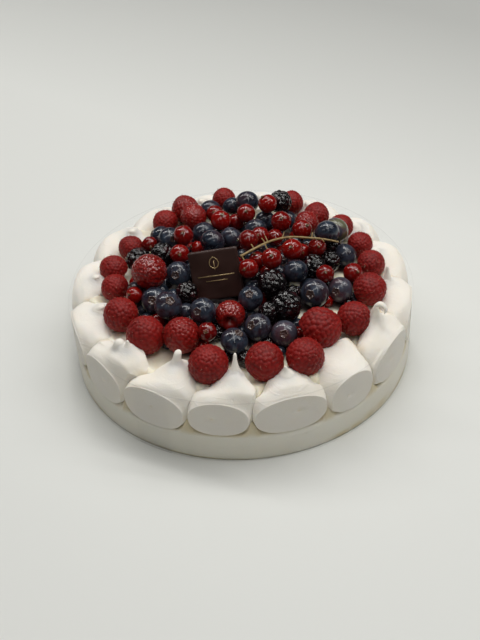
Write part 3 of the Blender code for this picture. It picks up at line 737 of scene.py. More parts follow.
def kiss_form(index):
    """A piped kiss pressed against the film: a flat face outside and a body that
    narrows inwards. Rings run from the face to the inner end; each spans from the
    upper line to the lower line."""
    start, end, (tip_az, tip_r, tip_z, pull, tip_rad, curl) = kiss(index)
    mid = (start + end) / 2
    notch = (NOTCHES[index], NOTCHES[(index + 1) % 16])
    g = np.random.default_rng(100 + index)
    rows, cols = (50, 70) if FINE else (34, 36)
    lift = g.uniform(-0.3, 0.4)
    foot_z = FOOT[index]
    wall = CAKE_R - 0.55
    f = np.linspace(0, 1, rows)
    if curl:
        line = spline(CURL, f)
        r_top, z_top, inner = line[:, 0], line[:, 1], line[:, 2:4]
        x = smooth(0.1, 0.75, f)
        arc = np.concatenate([[0], np.cumsum(np.hypot(np.diff(r_top), np.diff(z_top)))])
        left = arc[-1] - arc
    elif tip_rad > 4.5:
        rr = np.linspace(wall, tip_r, 500)
        xx = np.clip((95.5 - rr) / (95.5 - tip_r), 0, 1)
        zz = 41.9 + lift + 2.2 * np.sin(np.clip((wall - rr) / 8.0, 0, 1) * math.pi / 2) + (tip_z - 44.1 - lift) * xx ** pull
        arc = np.concatenate([[0], np.cumsum(np.hypot(np.diff(rr), np.diff(zz)))])
        r_top, z_top = np.interp(f * arc[-1], arc, rr), np.interp(f * arc[-1], arc, zz)
        x = np.interp(f * arc[-1], arc, xx)
        left = (1 - f) * arc[-1]
        inner = spline([(wall, 17.8), (93.5, 17.4), (tip_r + 5.5, 18.5), (tip_r + 1.0, 24), (tip_r - 2.0, 31),
                        (tip_r - 3.5, 38.5), (tip_r - 1.8, tip_z - 1.8), (tip_r - 0.1, tip_z)], f)
    else:
        # a loaf; its point is a piece of its own
        foot_az, foot = HATS[index][0][:2] if index in HATS else (tip_az, tip_r)
        tip_az = foot_az
        line = spline([(wall, 41.9 + lift), (97.4, 43.0 + lift), (95.0, 44.0 + lift * 0.5), (91.0, 44.6), (foot + 2.5, 44.7),
                       (foot - 2.0, 44.0), (foot - 6.0, 41.6), (foot - 8.5, 37.0)], f)
        r_top, z_top = line[:, 0], line[:, 1]
        inner = spline([(wall, 17.8), (94.5, 17.4), (91.5, 17.8), (foot + 4.0, 20), (foot, 26), (foot - 4.0, 31),
                        (foot - 7.5, 34.5), (foot - 8.7, 36.6)], f)
        arc = np.concatenate([[0], np.cumsum(np.hypot(np.diff(r_top), np.diff(z_top)))])
        left = arc[-1] - arc
        x = np.clip((95.5 - r_top) / (95.5 - foot), 0, 1)
        tip_rad = 3.0
    # where the creases on both sides are at each ring
    bounds = []
    for k, at in ((index, start), ((index + 1) % 16, end)):
        bounds.append(at + WANDER[k] * np.clip((wall - r_top) / (wall - NOTCHES[k]), 0, 1.15))
    az_line = (bounds[0] + bounds[1]) / 2
    az_line = az_line + (tip_az - az_line) * smooth(0.08, 0.75, x)
    widths = []
    for side, at, sign in ((notch[0], bounds[0], -1), (notch[1], bounds[1], 1)):
        reach = np.radians(np.maximum((at - az_line) * sign, 3.0)) * r_top
        if curl:
            half = np.radians((end - start) / 2) * r_top
            widths.append(np.where(r_top > 93.0, np.maximum(line[:, 4], reach * 1.08), line[:, 4]))
            widths[-1] = np.minimum(widths[-1], np.interp(wall - r_top, [0, 1.2], [0.932, 1.4]) * np.maximum(reach, half))
            continue
        if tip_rad > 4.5:
            w = np.interp(side - r_top, [-7, -3, 0, 4, 8, 11], [1.22, 1.18, 1.10, 1.0, 0.88, 0.76])
        else:
            w = np.interp(side - r_top, [-8, -4, -1.5, 0, 2, 4, 6, 9, 13],
                          [1.34, 1.32, 1.24, 1.12, 0.90, 0.74, 0.60, 0.45, 0.32])
        w = np.minimum(w, np.interp(wall - r_top, [0, 1.0, 2.5, 5.0, 8.0], [0.932, 0.985, 1.07, 1.20, 1.34]))
        w = np.convolve(np.pad(w, 2, mode="edge"), [0.1, 0.24, 0.32, 0.24, 0.1], mode="valid")
        w[0] = 0.932
        widths.append(np.maximum(w * reach, tip_rad))
    # close the inner end round
    close = np.sqrt(np.clip(1 - (1 - left / (tip_rad * 1.1)).clip(0, 1) ** 2, 0.0, 1)).clip(0.03, 1)
    r_c, z_c = (r_top + inner[:, 0]) / 2, (z_top + inner[:, 1]) / 2
    dr, dz = (r_top - inner[:, 0]) / 2 * close, (z_top - inner[:, 1]) / 2 * close
    phi = np.linspace(0, 2 * math.pi, cols, endpoint=False)
    c, s = np.cos(phi)[None], np.sin(phi)[None]
    power = np.interp(x, [0, 0.3, 1], [1.98, 1.92, 1.85])[:, None] + np.interp(x, [0, 0.2], [0.70, 0.2])[:, None] * (c < 0)
    m = (np.abs(c) ** power + np.abs(s) ** power) ** (-1 / power)
    cc, ss = c * m, s * m
    r = r_c[:, None] + dr[:, None] * cc
    z = z_c[:, None] + dz[:, None] * cc
    z = z + foot_z * smooth(31.0, 18.0, z)
    lat = np.where(ss < 0, widths[0][:, None], widths[1][:, None]) * ss * close[:, None]
    az = az_line[:, None] + np.degrees(lat / r)
    # neighbours press each other flat along the creases
    low = z < 50.0
    over = smooth(1.0, 5.0, wall - r_top)[:, None] * 0.5 - 0.05
    az = np.where(low, np.clip(az, bounds[0][:, None] - over, bounds[1][:, None] + over), az)
    # the skin sweeps up into the pulled point
    a = np.radians(az)
    for hat in hats_of(index):
        up = hat_height(hat, r * np.cos(a), r * np.sin(a))
        soft = 0.5 * (z + up + np.sqrt((z - up) ** 2 + 1.8 ** 2)) - 0.2
        free = smooth(0.0, 0.25, cc) * smooth(0.3, 5.0, wall - r)
        z = z + np.maximum(soft - z, 0) * free
    # the pressed face: rings that shrink onto the cylinder of the film
    face = []
    centre_z = (z[0].max() + z[0].min()) / 2
    off_az, off_z = g.uniform(-3.0, 3.0), g.uniform(-2.0, 2.5)
    for shrink, radius in ((0.035, CAKE_R - 0.45), (0.07, CAKE_R - 0.25), (0.10, CAKE_R), (0.40, CAKE_R),
                           (0.70, CAKE_R), (0.88, CAKE_R), (0.960, CAKE_R), (0.984, CAKE_R - 0.06),
                           (0.995, CAKE_R - 0.24)):
        face.append(np.stack([np.full(cols, radius), mid + off_az * (1 - shrink) + (az[0] - mid) * shrink,
                              centre_z + off_z * (1 - shrink) + (z[0] - centre_z) * shrink], -1))
    rings = np.concatenate([np.stack(face), np.stack([r, az, z], -1)])
    a = np.radians(rings[..., 1])
    pts = np.stack([rings[..., 0] * np.cos(a), rings[..., 0] * np.sin(a), rings[..., 2]], -1)
    flat = pts.reshape(-1, 3)
    inside = smooth(98.7, 94.0, rings[..., 0].reshape(-1))
    flat = flat + np.array([0, 0, 1]) * ((wobble(flat, 0.16, 11) * 0.42 + wobble(flat, 0.5, 12) * 0.13) * inside)[:, None]
    pts = flat.reshape(pts.shape)
    verts, tris, quads = capped(pts, polar(mid + off_az, CAKE_R - 0.55, centre_z + off_z), pts[-1].mean(axis=0))
    # a warm tint low down between two kisses and in the notch
    zv = verts[:, 2]
    azv = np.degrees(np.arctan2(verts[:, 1], verts[:, 0])) % 360
    rv = np.hypot(verts[:, 0], verts[:, 1])
    gap = np.full(len(verts), 99.0)
    for k, at in ((index, start), ((index + 1) % 16, end)):
        here = at + WANDER[k] * np.clip((wall - rv) / (wall - NOTCHES[k]), 0, 1.15)
        gap = np.minimum(gap, np.abs((azv - here + 180) % 360 - 180))
    crease = smooth(1.6, 0.1, gap) * np.maximum(smooth(31, 21, zv), 0.9 * smooth(93, 88, rv)) * smooth(47, 43, zv)
    spot = np.hypot(np.radians((azv - mid - off_az + 180) % 360 - 180) * 99, zv - centre_z - off_z)
    crease = np.maximum(crease, 0.5 * smooth(1.3, 0.5, spot) * (rv > 96))
    pressed = smooth(98.75, 98.95, rv)
    return verts, tris, quads, crease, pressed


def kiss_point(index, hat):
    """The pulled point on a kiss: a turned form with a wide flare, which sinks
    into the body, leaning from its foot to its tip."""
    foot_az, foot_r, tip_az, tip_r, tip_z, outward, outline = hat
    thin = [p for p in outline if p[1] < 4.6]
    after = outline[len(thin)]
    outline = thin + [(after[0] + 0.6, after[1])]
    tip = polar(tip_az, tip_r, tip_z)
    out = polar(foot_az, 1.0)
    side = np.array([-out[1], out[0], 0.0])
    drops = np.array([p[0] for p in outline])
    radii = np.array([p[1] for p in outline])
    rows, cols = (26, 22) if FINE else (14, 12)
    along = np.concatenate([[0], np.cumsum(np.hypot(np.diff(drops), np.diff(radii)))])
    at = np.linspace(0, along[-1], rows)
    drop = spline(np.stack([drops, radii], -1), np.interp(at, along, np.linspace(0, 1, len(along))))
    angle = np.linspace(0, 2 * math.pi, cols, endpoint=False)
    rings = []
    for d, rho in drop:
        centre = hat_axis(hat, tip_z - d)
        flare = smooth(2.0, 6.0, rho)
        stretch = 1 + (outward - 1) * flare * (np.cos(angle) > 0) * np.cos(angle) ** 2
        swirl = 1 + 0.05 * np.sin(2 * angle + d * 0.8 + index) * flare
        ring = centre[None] + (rho * stretch * swirl * np.cos(angle))[:, None] * out[:2] \
            + (rho * swirl * np.sin(angle))[:, None] * side[:2]
        ring = np.concatenate([ring, np.full((cols, 1), tip_z - d)], axis=1)
        reach = np.hypot(ring[:, 0], ring[:, 1])
        ring[:, :2] *= (np.minimum(reach, CAKE_R - 3.0) / reach)[:, None]
        rings.append(ring)
    rings = np.array(rings)
    rings[..., 2] += wobble(rings.reshape(-1, 3), 0.16, 11).reshape(rings.shape[:2]) * 0.42 * smooth(3.0, 8.0, drop[:, 1])[:, None]
    below = rings[-1].mean(axis=0) - np.array([0, 0, 3.0])
    verts, tris, quads = capped(rings, tip + np.array([0, 0, 0.02]), below)
    return verts, tris, quads


def meringue():
    heap = Heap()
    for k in range(16):
        verts, tris, quads, crease, pressed = kiss_form(k)
        heap.add(verts, tris, quads, crease=crease, pressed=pressed)
        for hat in hats_of(k):
            verts, tris, quads = kiss_point(k, hat)
            heap.add(verts, tris, quads, slot=1, crease=0.0, pressed=0.0)
    ob = heap.build("meringue_kisses", [MERINGUE, POINT])
    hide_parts("meringue_crown")
    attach(ob, "root")

    cols = 360 if FINE else 160
    profile = [(97.2, 0.0), (98.2, 0.25), (98.85, 0.9), (99.0, 2.0), (99.0, 5), (99.0, 8), (99.0, 11),
               (99.0, 14), (98.95, 16.2), (98.6, 17.3), (97.6, 18.0), (95.0, 18.1), (88.0, 18.0)]
    a = np.linspace(0, 2 * math.pi, cols, endpoint=False)
    rings = np.zeros((len(profile), cols, 3))
    for i, (r, z) in enumerate(profile):
        ring = np.stack([r * np.cos(a), r * np.sin(a), np.full(cols, z)], -1)
        if i > 1:
            ring[:, :2] *= (1 - 0.0022 * (0.5 + 0.5 * wobble(ring, 0.07, 5)))[:, None]
        if i > 5:
            ring[:, 2] += disc_lift(np.degrees(a)) * (ring[:, 2] / 18.0) ** 2
        if i > 7:
            ring[:, 2] += wobble(ring, 0.09, 6) * 0.2
        if 8 < i < 12:
            off = np.min([np.abs((np.degrees(a) - c + 180) % 360 - 180) for c in CREASES], axis=0)
            ring[:, 2] += (2.5, 7.0, 8.5)[i - 9] * np.exp(-(off / 1.5) ** 2)
        rings[i] = ring
    verts, tris, quads = capped(rings, (0, 0, 0), (0, 0, 18.0))
    zz = verts[:, 2]
    rv = np.hypot(verts[:, 0], verts[:, 1])
    az = np.degrees(np.arctan2(verts[:, 1], verts[:, 0])) % 360
    tint_patches = np.zeros(len(verts))
    for at, height, wide, tall in ((301.0, 1.5, 3.5, 2.0), (307.0, 2.4, 3.5, 2.0), (313.0, 3.0, 3.5, 2.2), (319.0, 3.4, 3.5, 2.2),
                                   (335.0, 1.0, 14.0, 1.6), (250.0, 0.6, 22.0, 0.9), (209.0, 0.8, 9.0, 1.2)):
        tint_patches = np.maximum(tint_patches, np.exp(-((az - at) / wide) ** 2 - ((zz - height) / tall) ** 2))
    ob = mesh_object("meringue_disc", verts, [tris, quads], [DISC], attributes={
        "crease": np.maximum(smooth(17.2, 18.6, zz) * 0.6, tint_patches * 0.9), "pressed": np.zeros(len(verts))})
    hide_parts("meringue_base")
    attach(ob, "root")


def cream_outline(count):
    """Outline of the cream: out to each notch, in under each kiss."""
    az = np.linspace(0, 360, count, endpoint=False)
    r = np.zeros(count)
    for k in range(16):
        start, end, tip = kiss(k)
        start += WANDER[k]
        end += WANDER[(k + 1) % 16]
        rel = (az - start) % 360
        inside = rel < (end - start)
        s = rel / (end - start) * 2 - 1
        out = np.where(s < 0, NOTCHES[k], NOTCHES[(k + 1) % 16]) + 2.0
        r = np.where(inside, 80.0 + (out - 80.0) * np.abs(s) ** 2.2, r)
    return az, r


CREAM_SHOWS = [(-13.7, -53.5, 4.5), (7.2, -59.5, 4.0), (-45.5, -39.0, 2.6), (35.0, -33.0, 4.0), (52.0, -32.0, 6.5),
               (58.6, 4.5, 4.5), (32.3, -10.0, 4.0), (-40.5, -5.0, 2.5)]


def plaque_dip(points):
    """Cream level with a hollow pressed in where the plaque stands."""
    side, top, front = plaque_axes()
    level = np.array([front[0], front[1], 0.0])
    level /= np.linalg.norm(level)
    rel = points - np.array(PLAQUE_AT)
    ahead = rel @ level
    across = np.abs(rel @ np.array([level[1], -level[0], 0.0]))
    into = smooth(-8.0, 0.0, ahead) * smooth(24.0, 9.0, ahead) * smooth(23.0, 14.0, across)
    return points[:, 2] * (1 - into) + np.minimum(points[:, 2], 41.0) * into


def cream(fruit):
    cols = 256 if FINE else 128
    az, out = cream_outline(cols)
    a = np.radians(az)
    fractions = np.concatenate([[1.0, 0.997], np.linspace(0.985, 0.03, 64 if FINE else 32)])
    rings = [np.stack([out * np.cos(a), out * np.sin(a), np.full(cols, 19.0)], -1)]
    for f in fractions:
        r = out * f
        z = cream_height(r) + 4.2 * smooth(76.0, 87.0, r) - 2.0 * smooth(out - 3.0, out, r)
        ring = np.stack([r * np.cos(a), r * np.sin(a), z], -1)
        ring[:, 2] = plaque_dip(ring)
        # it swells up in the wide notch at the front left
        ring[:, 2] += 1.8 * np.exp(-((ring[:, 0] + 57.0) ** 2 + (ring[:, 1] + 59.0) ** 2) / 72.0)
        ring[:, 2] += wobble(ring, 0.11, 21) * 0.30
        if f == 1.0:
            ring[:, 2] -= 0.8
        rings.append(ring)
    verts, tris, quads = capped(np.stack(rings), (0, 0, 19.0), (0, 0, float(cream_height(0.0))))
    # painted shade: the cream is painted near black in the gaps between the fruit in the middle
    near = np.full(len(verts), 99.0)
    for at, radius in fruit:
        near = np.minimum(near, np.linalg.norm(verts - at, axis=1) - radius)
    painted_gap_shade = smooth(13.0, 6.0, near) * smooth(69.0, 62.0, np.hypot(verts[:, 0], verts[:, 1]))
    # no painted shade where the cream shows between the fruit
    for x, y, size in CREAM_SHOWS:
        painted_gap_shade *= smooth(size * 0.8, size * 1.7, np.hypot(verts[:, 0] - x, verts[:, 1] - y))
    ob = mesh_object("cream_filling", verts, [tris, quads], [CREAM], attributes={"painted_gap_shade": painted_gap_shade})
    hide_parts("cream")
    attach(ob, "root")


# -------------------------------------------------------------------- berries
def drupelets(seed, rows, jitter=0.05, puff=1.0, spokes=12):
    """Unit berry of drupelets. Each drupelet is a fan of rings on its own
    sphere, and a convex hull of the directions joins them into one skin."""
    g = np.random.default_rng(seed)
    dirs = []
    phase = g.uniform(0, 6.28)
    for k, (theta, n) in enumerate(rows):
        phase += 0.5 * 2 * math.pi / max(n, 1) + g.normal() * 0.08
        for i in range(n):
            t = math.radians(theta) + g.normal() * jitter * 0.6
            p = phase + 2 * math.pi * i / n + g.normal() * jitter
            dirs.append((math.sin(t) * math.cos(p), math.sin(t) * math.sin(p), math.cos(t)))
    d = np.array(dirs)
    n = len(d)
    dots = d @ d.T
    np.fill_diagonal(dots, -1)
    near = np.sort(np.arccos(np.clip(dots, -1, 1)), axis=1)[:, :5].mean(axis=1) / 2
    tones = g.uniform(0, 1, n)
    points, owner, edge = [], [], []
    for i in range(n):
        u = np.cross(d[i], (0.3, 0.2, 0.93))
        u /= np.linalg.norm(u)
        w = np.cross(d[i], u)
        points.append(d[i]); owner.append(i); edge.append(0.0)
        spin = g.uniform(0, 6.28)
        for k in range(spokes):
            a = spin + 2 * math.pi * k / spokes
            v = u * math.cos(a) + w * math.sin(a)
            toward = d @ v
            with np.errstate(divide="ignore", invalid="ignore"):
                bound = np.where(toward > 1e-4, np.arctan((1 - dots[i]) / toward), 9.0)
            bound[i] = 9.0
            j = int(np.argmin(bound))
            limit = min(float(bound[j]), near[i] * 1.35)
            shared = limit == float(bound[j])
            for f in (0.45, 0.80):
                if f == 0.45 and k % 2:
                    continue
                points.append(d[i] * math.cos(limit * f) + v * math.sin(limit * f)); owner.append(i); edge.append(f)
            if not shared or i < j:
                points.append(d[i] * math.cos(limit) + v * math.sin(limit)); owner.append(i); edge.append(1.0)
    p = np.array(points)
    owner = np.array(owner)
    edge = np.array(edge)
    size = np.sin(near[owner]) * puff
    centre = (1.0 - size)
    along = np.einsum("ij,ij->i", p, d[owner])
    under = size ** 2 - centre ** 2 * (1 - along ** 2)
    r = centre * along + np.sqrt(np.maximum(under, 0.0))
    r = np.maximum(r, 0.84)
    depth = smooth(0.955 if puff > 1.15 else 0.88, 0.995, r)
    return p, r, tones[owner], depth


def hull(points):
    """Triangles of the convex hull of unit directions."""
    bm = bmesh.new()
    vs = [bm.verts.new(v) for v in points]
    bm.verts.index_update()
    bmesh.ops.convex_hull(bm, input=vs, use_existing_faces=False)
    bm.verts.index_update()
    tris = [[v.index for v in f.verts] for f in bm.faces if len(f.verts) == 3]
    used = sorted({i for t in tris for i in t})
    bm.free()
    remap = {old: new for new, old in enumerate(used)}
    return np.array([[remap[i] for i in t] for t in tris]), np.array(used)


def raspberry_form(seed, aspect):
    rows = [(0, 1)] + [(12.7 * k, max(6, round(24.5 * math.sin(math.radians(12.7 * k))))) for k in range(1, 12)]
    p, r, tone, depth = drupelets(seed, rows, jitter=0.035, puff=1.42, spokes=8)
    theta = np.degrees(np.arccos(np.clip(p[:, 2], -1, 1)))
    keep = theta < 151
    p, r, tone, depth = p[keep], r[keep], tone[keep], depth[keep]
    # the hollow where the berry came off its core
    extra, er = [], []
    for th, rad in ((153, 0.86), (157, 0.76), (161, 0.60), (166, 0.48), (172, 0.42)):
        m = 20 if th < 165 else 10
        for k in range(m):
            a = 2 * math.pi * (k + (th % 2) * 0.5) / m
            t = math.radians(th)
            extra.append((math.sin(t) * math.cos(a), math.sin(t) * math.sin(a), math.cos(t)))
            er.append(rad)
    extra.append((0, 0, -1))
    er.append(0.40)
    p = np.concatenate([p, np.array(extra)])
    r = np.concatenate([r, er])
    tone = np.concatenate([tone, np.full(len(er), 0.3)])
    depth = np.concatenate([depth, np.full(len(er), 0.12)])
    tris, used = hull(p)
    p, r, tone, depth = p[used], r[used], tone[used], depth[used]
    v = p * r[:, None]
    taper = 1.0 - 0.12 * np.clip(v[:, 2], 0, 1) ** 1.8 - 0.03 * np.clip(-v[:, 2], 0, 1)
    v[:, :2] *= taper[:, None] * 1.02
    v[:, 2] *= aspect
    return v, tris, tone, depth


def bramble_form(seed):
    rows = [(0, 1), (24, 6), (50, 9), (76, 11), (102, 11), (127, 9), (152, 5)]
    p, r, tone, depth = drupelets(seed, rows, jitter=0.07, puff=1.10)
    tris, used = hull(p)
    p, r, tone, depth = p[used], r[used], tone[used], depth[used]
    v = p * r[:, None]
    v[:, 2] *= 1.03
    return v, tris, tone, depth


def blueberry_form(seed, plain=False):
    g = np.random.default_rng(seed)
    rows, cols = (40, 48) if FINE and not plain else (22, 26)
    theta = np.concatenate([np.linspace(0.03, 0.48, rows // 2), np.linspace(0.56, math.pi - 0.06, rows - rows // 2)])
    phi = np.linspace(0, 2 * math.pi, cols, endpoint=False)
    th, ph = np.meshgrid(theta, phi, indexing="ij")
    lobes = np.cos(5 * (ph + g.normal() * 0.1)) + 0.25 * np.cos(3 * ph + g.uniform(0, 6))
    rim_at = 0.275 + 0.03 * lobes
    rim = np.exp(-((th - rim_at) / 0.05) ** 2)
    pit = smooth(rim_at + 0.02, rim_at - 0.13, th)
    r = 1.0 - 0.035 * np.cos(th) ** 2 + 0.05 * rim - 0.085 * pit + 0.03 * smooth(0.10, 0.0, th)
    r = r - 0.03 * smooth(2.95, 3.14, th)
    v = np.stack([r * np.sin(th) * np.cos(ph), r * np.sin(th) * np.sin(ph), r * np.cos(th) * 0.92], -1)
    flat = v.reshape(-1, 3)
    flat = flat * (1 + 0.018 * wobble(flat, 1.6, seed + 3))[:, None]
    crown = (0.75 * rim + 0.55 * pit).clip(0, 1).reshape(-1)
    verts, tris, quads = capped(flat.reshape(v.shape))
    return verts, tris, quads, np.concatenate([crown, [0.6, 0.0]])


def currant_form(seed, plain=False):
    g = np.random.default_rng(seed)
    rows, cols = (22, 30) if FINE and not plain else (14, 18)
    theta = np.linspace(0.10, math.pi - 0.10, rows)
    phi = np.linspace(0, 2 * math.pi, cols, endpoint=False)
    th, ph = np.meshgrid(theta, phi, indexing="ij")
    r = 1.0 + 0.012 * np.cos(5 * ph) * np.sin(th) - 0.02 * smooth(0.25, 0.0, th)
    v = np.stack([r * np.sin(th) * np.cos(ph), r * np.sin(th) * np.sin(ph), r * np.cos(th) * 0.97], -1)
    flat = v.reshape(-1, 3)
    flat = flat * (1 + 0.012 * wobble(flat, 1.8, seed))[:, None]
    vein = (0.5 + 0.5 * np.cos(10 * ph)) ** 3 * np.sin(th) ** 0.7
    verts, tris, quads = capped(flat.reshape(v.shape))
    crown = np.concatenate([smooth(0.22, 0.12, th).reshape(-1) * 0.7, [0.9, 0.1]])
    vein = np.concatenate([vein.reshape(-1), [0, 0]])
    # the dried blossom end: a small crumpled tuft
    n = 9
    a = np.linspace(0, 2 * math.pi, n, endpoint=False)
    rings = []
    for k, (rad, z) in enumerate([(0.10, 0.90), (0.13, 1.00), (0.17, 1.08), (0.12, 1.13), (0.05, 1.08)]):
        rad = rad * (1 + 0.3 * np.cos(3 * a + k + g.uniform(0, 6)))
        rings.append(np.stack([rad * np.cos(a), rad * np.sin(a), np.full(n, z) + 0.03 * np.cos(2 * a + k)], -1))
    tv, tt, tq = capped(np.stack(rings))
    return (verts, tris, quads, crown, vein), (tv, tt, tq)


def heap_of_fruit():
    taken = []

    def place(verts, at, radius, axis, spin, grow):
        return np.asarray(verts) * (radius * grow) @ turn_to(axis, spin).T + at

    rasp, hair = Heap(), Heap()
    wet_ones = {3: 1.0, 22: 0.8, 23: 0.5, 24: 0.6, 7: 0.2, 20: 0.3}
    for k, (radius, az, tilt, aspect) in enumerate(RASPBERRIES, 1):
        axis = pointing(az, tilt)
        at = node_middle("raspberry_%02d" % k, axis, 0.004, radius)
        taken.append((at, radius))
        v, tris, tone, depth = raspberry_form(300 + k, aspect)
        v = place(v, at, radius, axis, k * 1.3, 1.04)
        rasp.add(v, tris, tone=tone * 0.8 + 0.2 * ((k * 37) % 10) / 10, depth=depth, wet=wet_ones.get(k, 0.0))
        # the short dry hairs that stand on the drupelets
        tops = np.flatnonzero(depth > 0.93)
        g = np.random.default_rng(1300 + k)
        for j in g.choice(tops, min(len(tops), 30 if k in wet_ones else 52), replace=False):
            up = (v[j] - at) / np.linalg.norm(v[j] - at)
            lean = np.cross(up, g.normal(size=3))
            size = g.uniform(0.6, 1.25)
            path = [v[j] - up * 0.1, v[j] + (up * 0.55 + lean * 0.25) * size, v[j] + (up * 0.75 + lean * 0.75) * size]
            hv, ht, hq = tube(spline(path, np.linspace(0, 1, 4)), np.array([0.075, 0.065, 0.055, 0.03]), 3)
            hair.add(hv, ht, hq)
    ob = rasp.build("raspberries", [RASPBERRY])
    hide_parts(*["raspberry_%02d" % k for k in range(1, 25)])
    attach(ob, "root")

    ob = hair.build("raspberry_hairs", [HAIR])
    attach(ob, "root")

    bram = Heap()
    for k, (radius, az, tilt) in enumerate(BRAMBLES, 1):
        axis = pointing(az, tilt)
        at = node_middle("bramble_%02d" % k, axis, 0.035, radius)
        taken.append((at, radius))
        v, tris, tone, depth = bramble_form(500 + k)
        bram.add(place(v, at, radius, axis, k * 0.9, 1.05), tris, tone=tone, depth=depth)
    for k, (az, dist, z, radius, faz, tilt) in enumerate(LOOSE_BRAMBLES):
        at = polar(az, dist, z)
        taken.append((at, radius))
        v, tris, tone, depth = bramble_form(540 + k)
        bram.add(place(v, at, radius, pointing(faz, tilt), k * 0.9, 1.0), tris, tone=tone, depth=depth)
    blue = Heap()
    for k, (radius, az, tilt) in enumerate(BLUEBERRIES, 1):
        axis = pointing(az, tilt)
        at = node_middle("blueberry_%02d" % k, axis, 0.1826, radius)
        taken.append((at, radius))
        verts, tris, quads, crown = blueberry_form(700 + k)
        blue.add(place(verts, at, radius, axis, k * 1.1, 1.05), tris, quads, crown=crown,
                 tone=UNRIPE.get(k, ((k * 7) % 11) / 10))
    for k, (az, dist, z, radius, faz, tilt) in enumerate(LOOSE_BLUEBERRIES):
        at = polar(az, dist, z)
        taken.append((at, radius))
        verts, tris, quads, crown = blueberry_form(740 + k)
        blue.add(place(verts, at, radius, pointing(faz, tilt), k * 1.1, 1.0), tris, quads, crown=crown, tone=0.3)

    curr = Heap()

    def currant(at, radius, axis, seed, grow=1.0, plain=False):
        (verts, tris, quads, crown, vein), (tv, tt, tq) = currant_form(seed, plain)
        tone = ((seed * 13) % 10) / 10
        curr.add(place(verts, at, radius, axis, seed * 0.7, grow), tris, quads, crown=crown, vein=vein, tone=tone)
        curr.add(place(tv, at, radius, axis, seed * 0.7, grow), tt, tq, crown=1.0, vein=0.0, tone=0.2)

    for k, (az, dist, z, radius, faz, tilt) in enumerate(LOOSE_CURRANTS):
        at = polar(az, dist, z)
        taken.append((at, radius))
        currant(at, radius, pointing(faz, tilt), 900 + k)
    sprig = [(np.array(c[:3]), c[3]) for c in SPRIG_CURRANTS]

    # small fruit sunk in the cream under the heap, so that no deep gap stays empty
    side, top, front = plaque_axes()
    slab = np.array(PLAQUE_AT) - front * PLAQUE_T / 2
    everything = taken + sprig
    filler = 0
    g = np.random.default_rng(42)
    for i in range(1100):
        # sunflower spiral over the heap
        dist = 66.0 * math.sqrt((i + 0.5) / 1100.0)
        x, y, _ = polar(i * 137.508, dist)
        if any(math.hypot(x - sx, y - sy) < size + 3.0 for sx, sy, size in CREAM_SHOWS):
            continue
        floor = float(plaque_dip(np.array([[x, y, float(cream_height(dist))]]))[0])
        for radius in (6.0, 5.2, 4.5, 3.8):
            at = np.array([x, y, floor + radius * 0.45])
            local = np.array([(at - slab) @ side, (at - slab) @ top, (at - slab) @ front])
            beyond = np.linalg.norm(local - np.clip(local, (-PLAQUE / 2, -PLAQUE / 2, -1.5),
                                                    (PLAQUE / 2, PLAQUE / 2, 1.5)))
            # nothing may stand in front of the plaque's face
            sight = 42.5 + 0.84 * (local[2] - 2.0)
            if beyond < radius + 0.2 or (0.0 < local[2] < 24.0 and abs(local[0]) < PLAQUE / 2 + radius
                                         and at[2] + radius > sight):
                continue
            if all(np.linalg.norm(at - c) > (radius + q) * 0.90 for c, q in everything):
                everything.append((at, radius))
                filler += 1
                if filler % 4 == 0 and radius < 5:
                    currant(at, radius, pointing(filler * 50, 60), 950 + filler, plain=True)
                elif filler % 4 == 2:
                    v, tris, tone, depth = bramble_form(560 + filler)
                    bram.add(place(v, at, radius, pointing(filler * 77, 40), filler, 1.0), tris, tone=tone, depth=depth)
                else:
                    verts, tris, quads, crown = blueberry_form(760 + filler, plain=True)
                    blue.add(place(verts, at, radius, pointing(filler * 70, 50), filler, 1.0), tris, quads,
                             crown=crown, tone=0.1)
                break
    ob = bram.build("brambles", [BRAMBLE])
    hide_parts(*["bramble_%02d" % k for k in range(1, 9)])
    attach(ob, "root")
    ob = blue.build("blueberries", [BLUEBERRY])
    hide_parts(*["blueberry_%02d" % k for k in range(1, 23)])
    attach(ob, "root")
    ob = curr.build("currants", [CURRANT])
    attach(ob, "root")

    # the sprig: currants on the stem, the stem and the short stalks
    curr = Heap()
    for k, (x, y, z, radius, u, faz, tilt) in enumerate(SPRIG_CURRANTS):
        (verts, tris, quads, crown, vein), (tv, tt, tq) = currant_form(980 + k)
        at = np.array([x, y, z])
        curr.add(place(verts, at, radius, pointing(faz, tilt), k, 1.0), tris, quads, crown=crown, vein=vein,
                 tone=((k * 3) % 10) / 10)
        curr.add(place(tv, at, radius, pointing(faz, tilt), k, 1.0), tt, tq, crown=1.0, vein=0.0, tone=0.2)
    ob = curr.build("sprig_currants", [CURRANT])
    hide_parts("currant_sprig")
    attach(ob, "root")
    stem = Heap()
    u = np.linspace(0, 1, 60)
    line = spline(STEM, u)
    thick = 0.74 - 0.22 * u + 0.12 * np.sin(u * 40) ** 8
    thick[:2] += 0.2
    v, t, q = tube(line, thick, 9)
    stem.add(v, t, q)
    for x, y, z, radius, at_u, faz, tilt in SPRIG_CURRANTS:
        root = spline(STEM, np.array([at_u]))[0]
        middle = np.array([x, y, z])
        away = (root - middle) / np.linalg.norm(root - middle)
        end = middle + away * radius * 0.94
        bow = (root + end) / 2 + np.array([0, 0, 0.25])
        pts = spline([root, bow, end], np.linspace(0, 1, 9))
        v, t, q = tube(pts, np.linspace(0.30, 0.42, 9), 7)
        stem.add(v, t, q)
    for at_u, (dx, dy, dz) in STUBS:
        root = spline(STEM, np.array([at_u]))[0]
        pts = spline([root, root + np.array([dx, dy, dz]) * 0.5 + np.array([0, 0, 0.2]),
                      root + np.array([dx, dy, dz])], np.linspace(0, 1, 7))
        v, t, q = tube(pts, np.linspace(0.42, 0.26, 7), 7)
        stem.add(v, t, q)
    ob = stem.build("sprig_stem", [STEM_MAT])
    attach(ob, "root")
    return everything


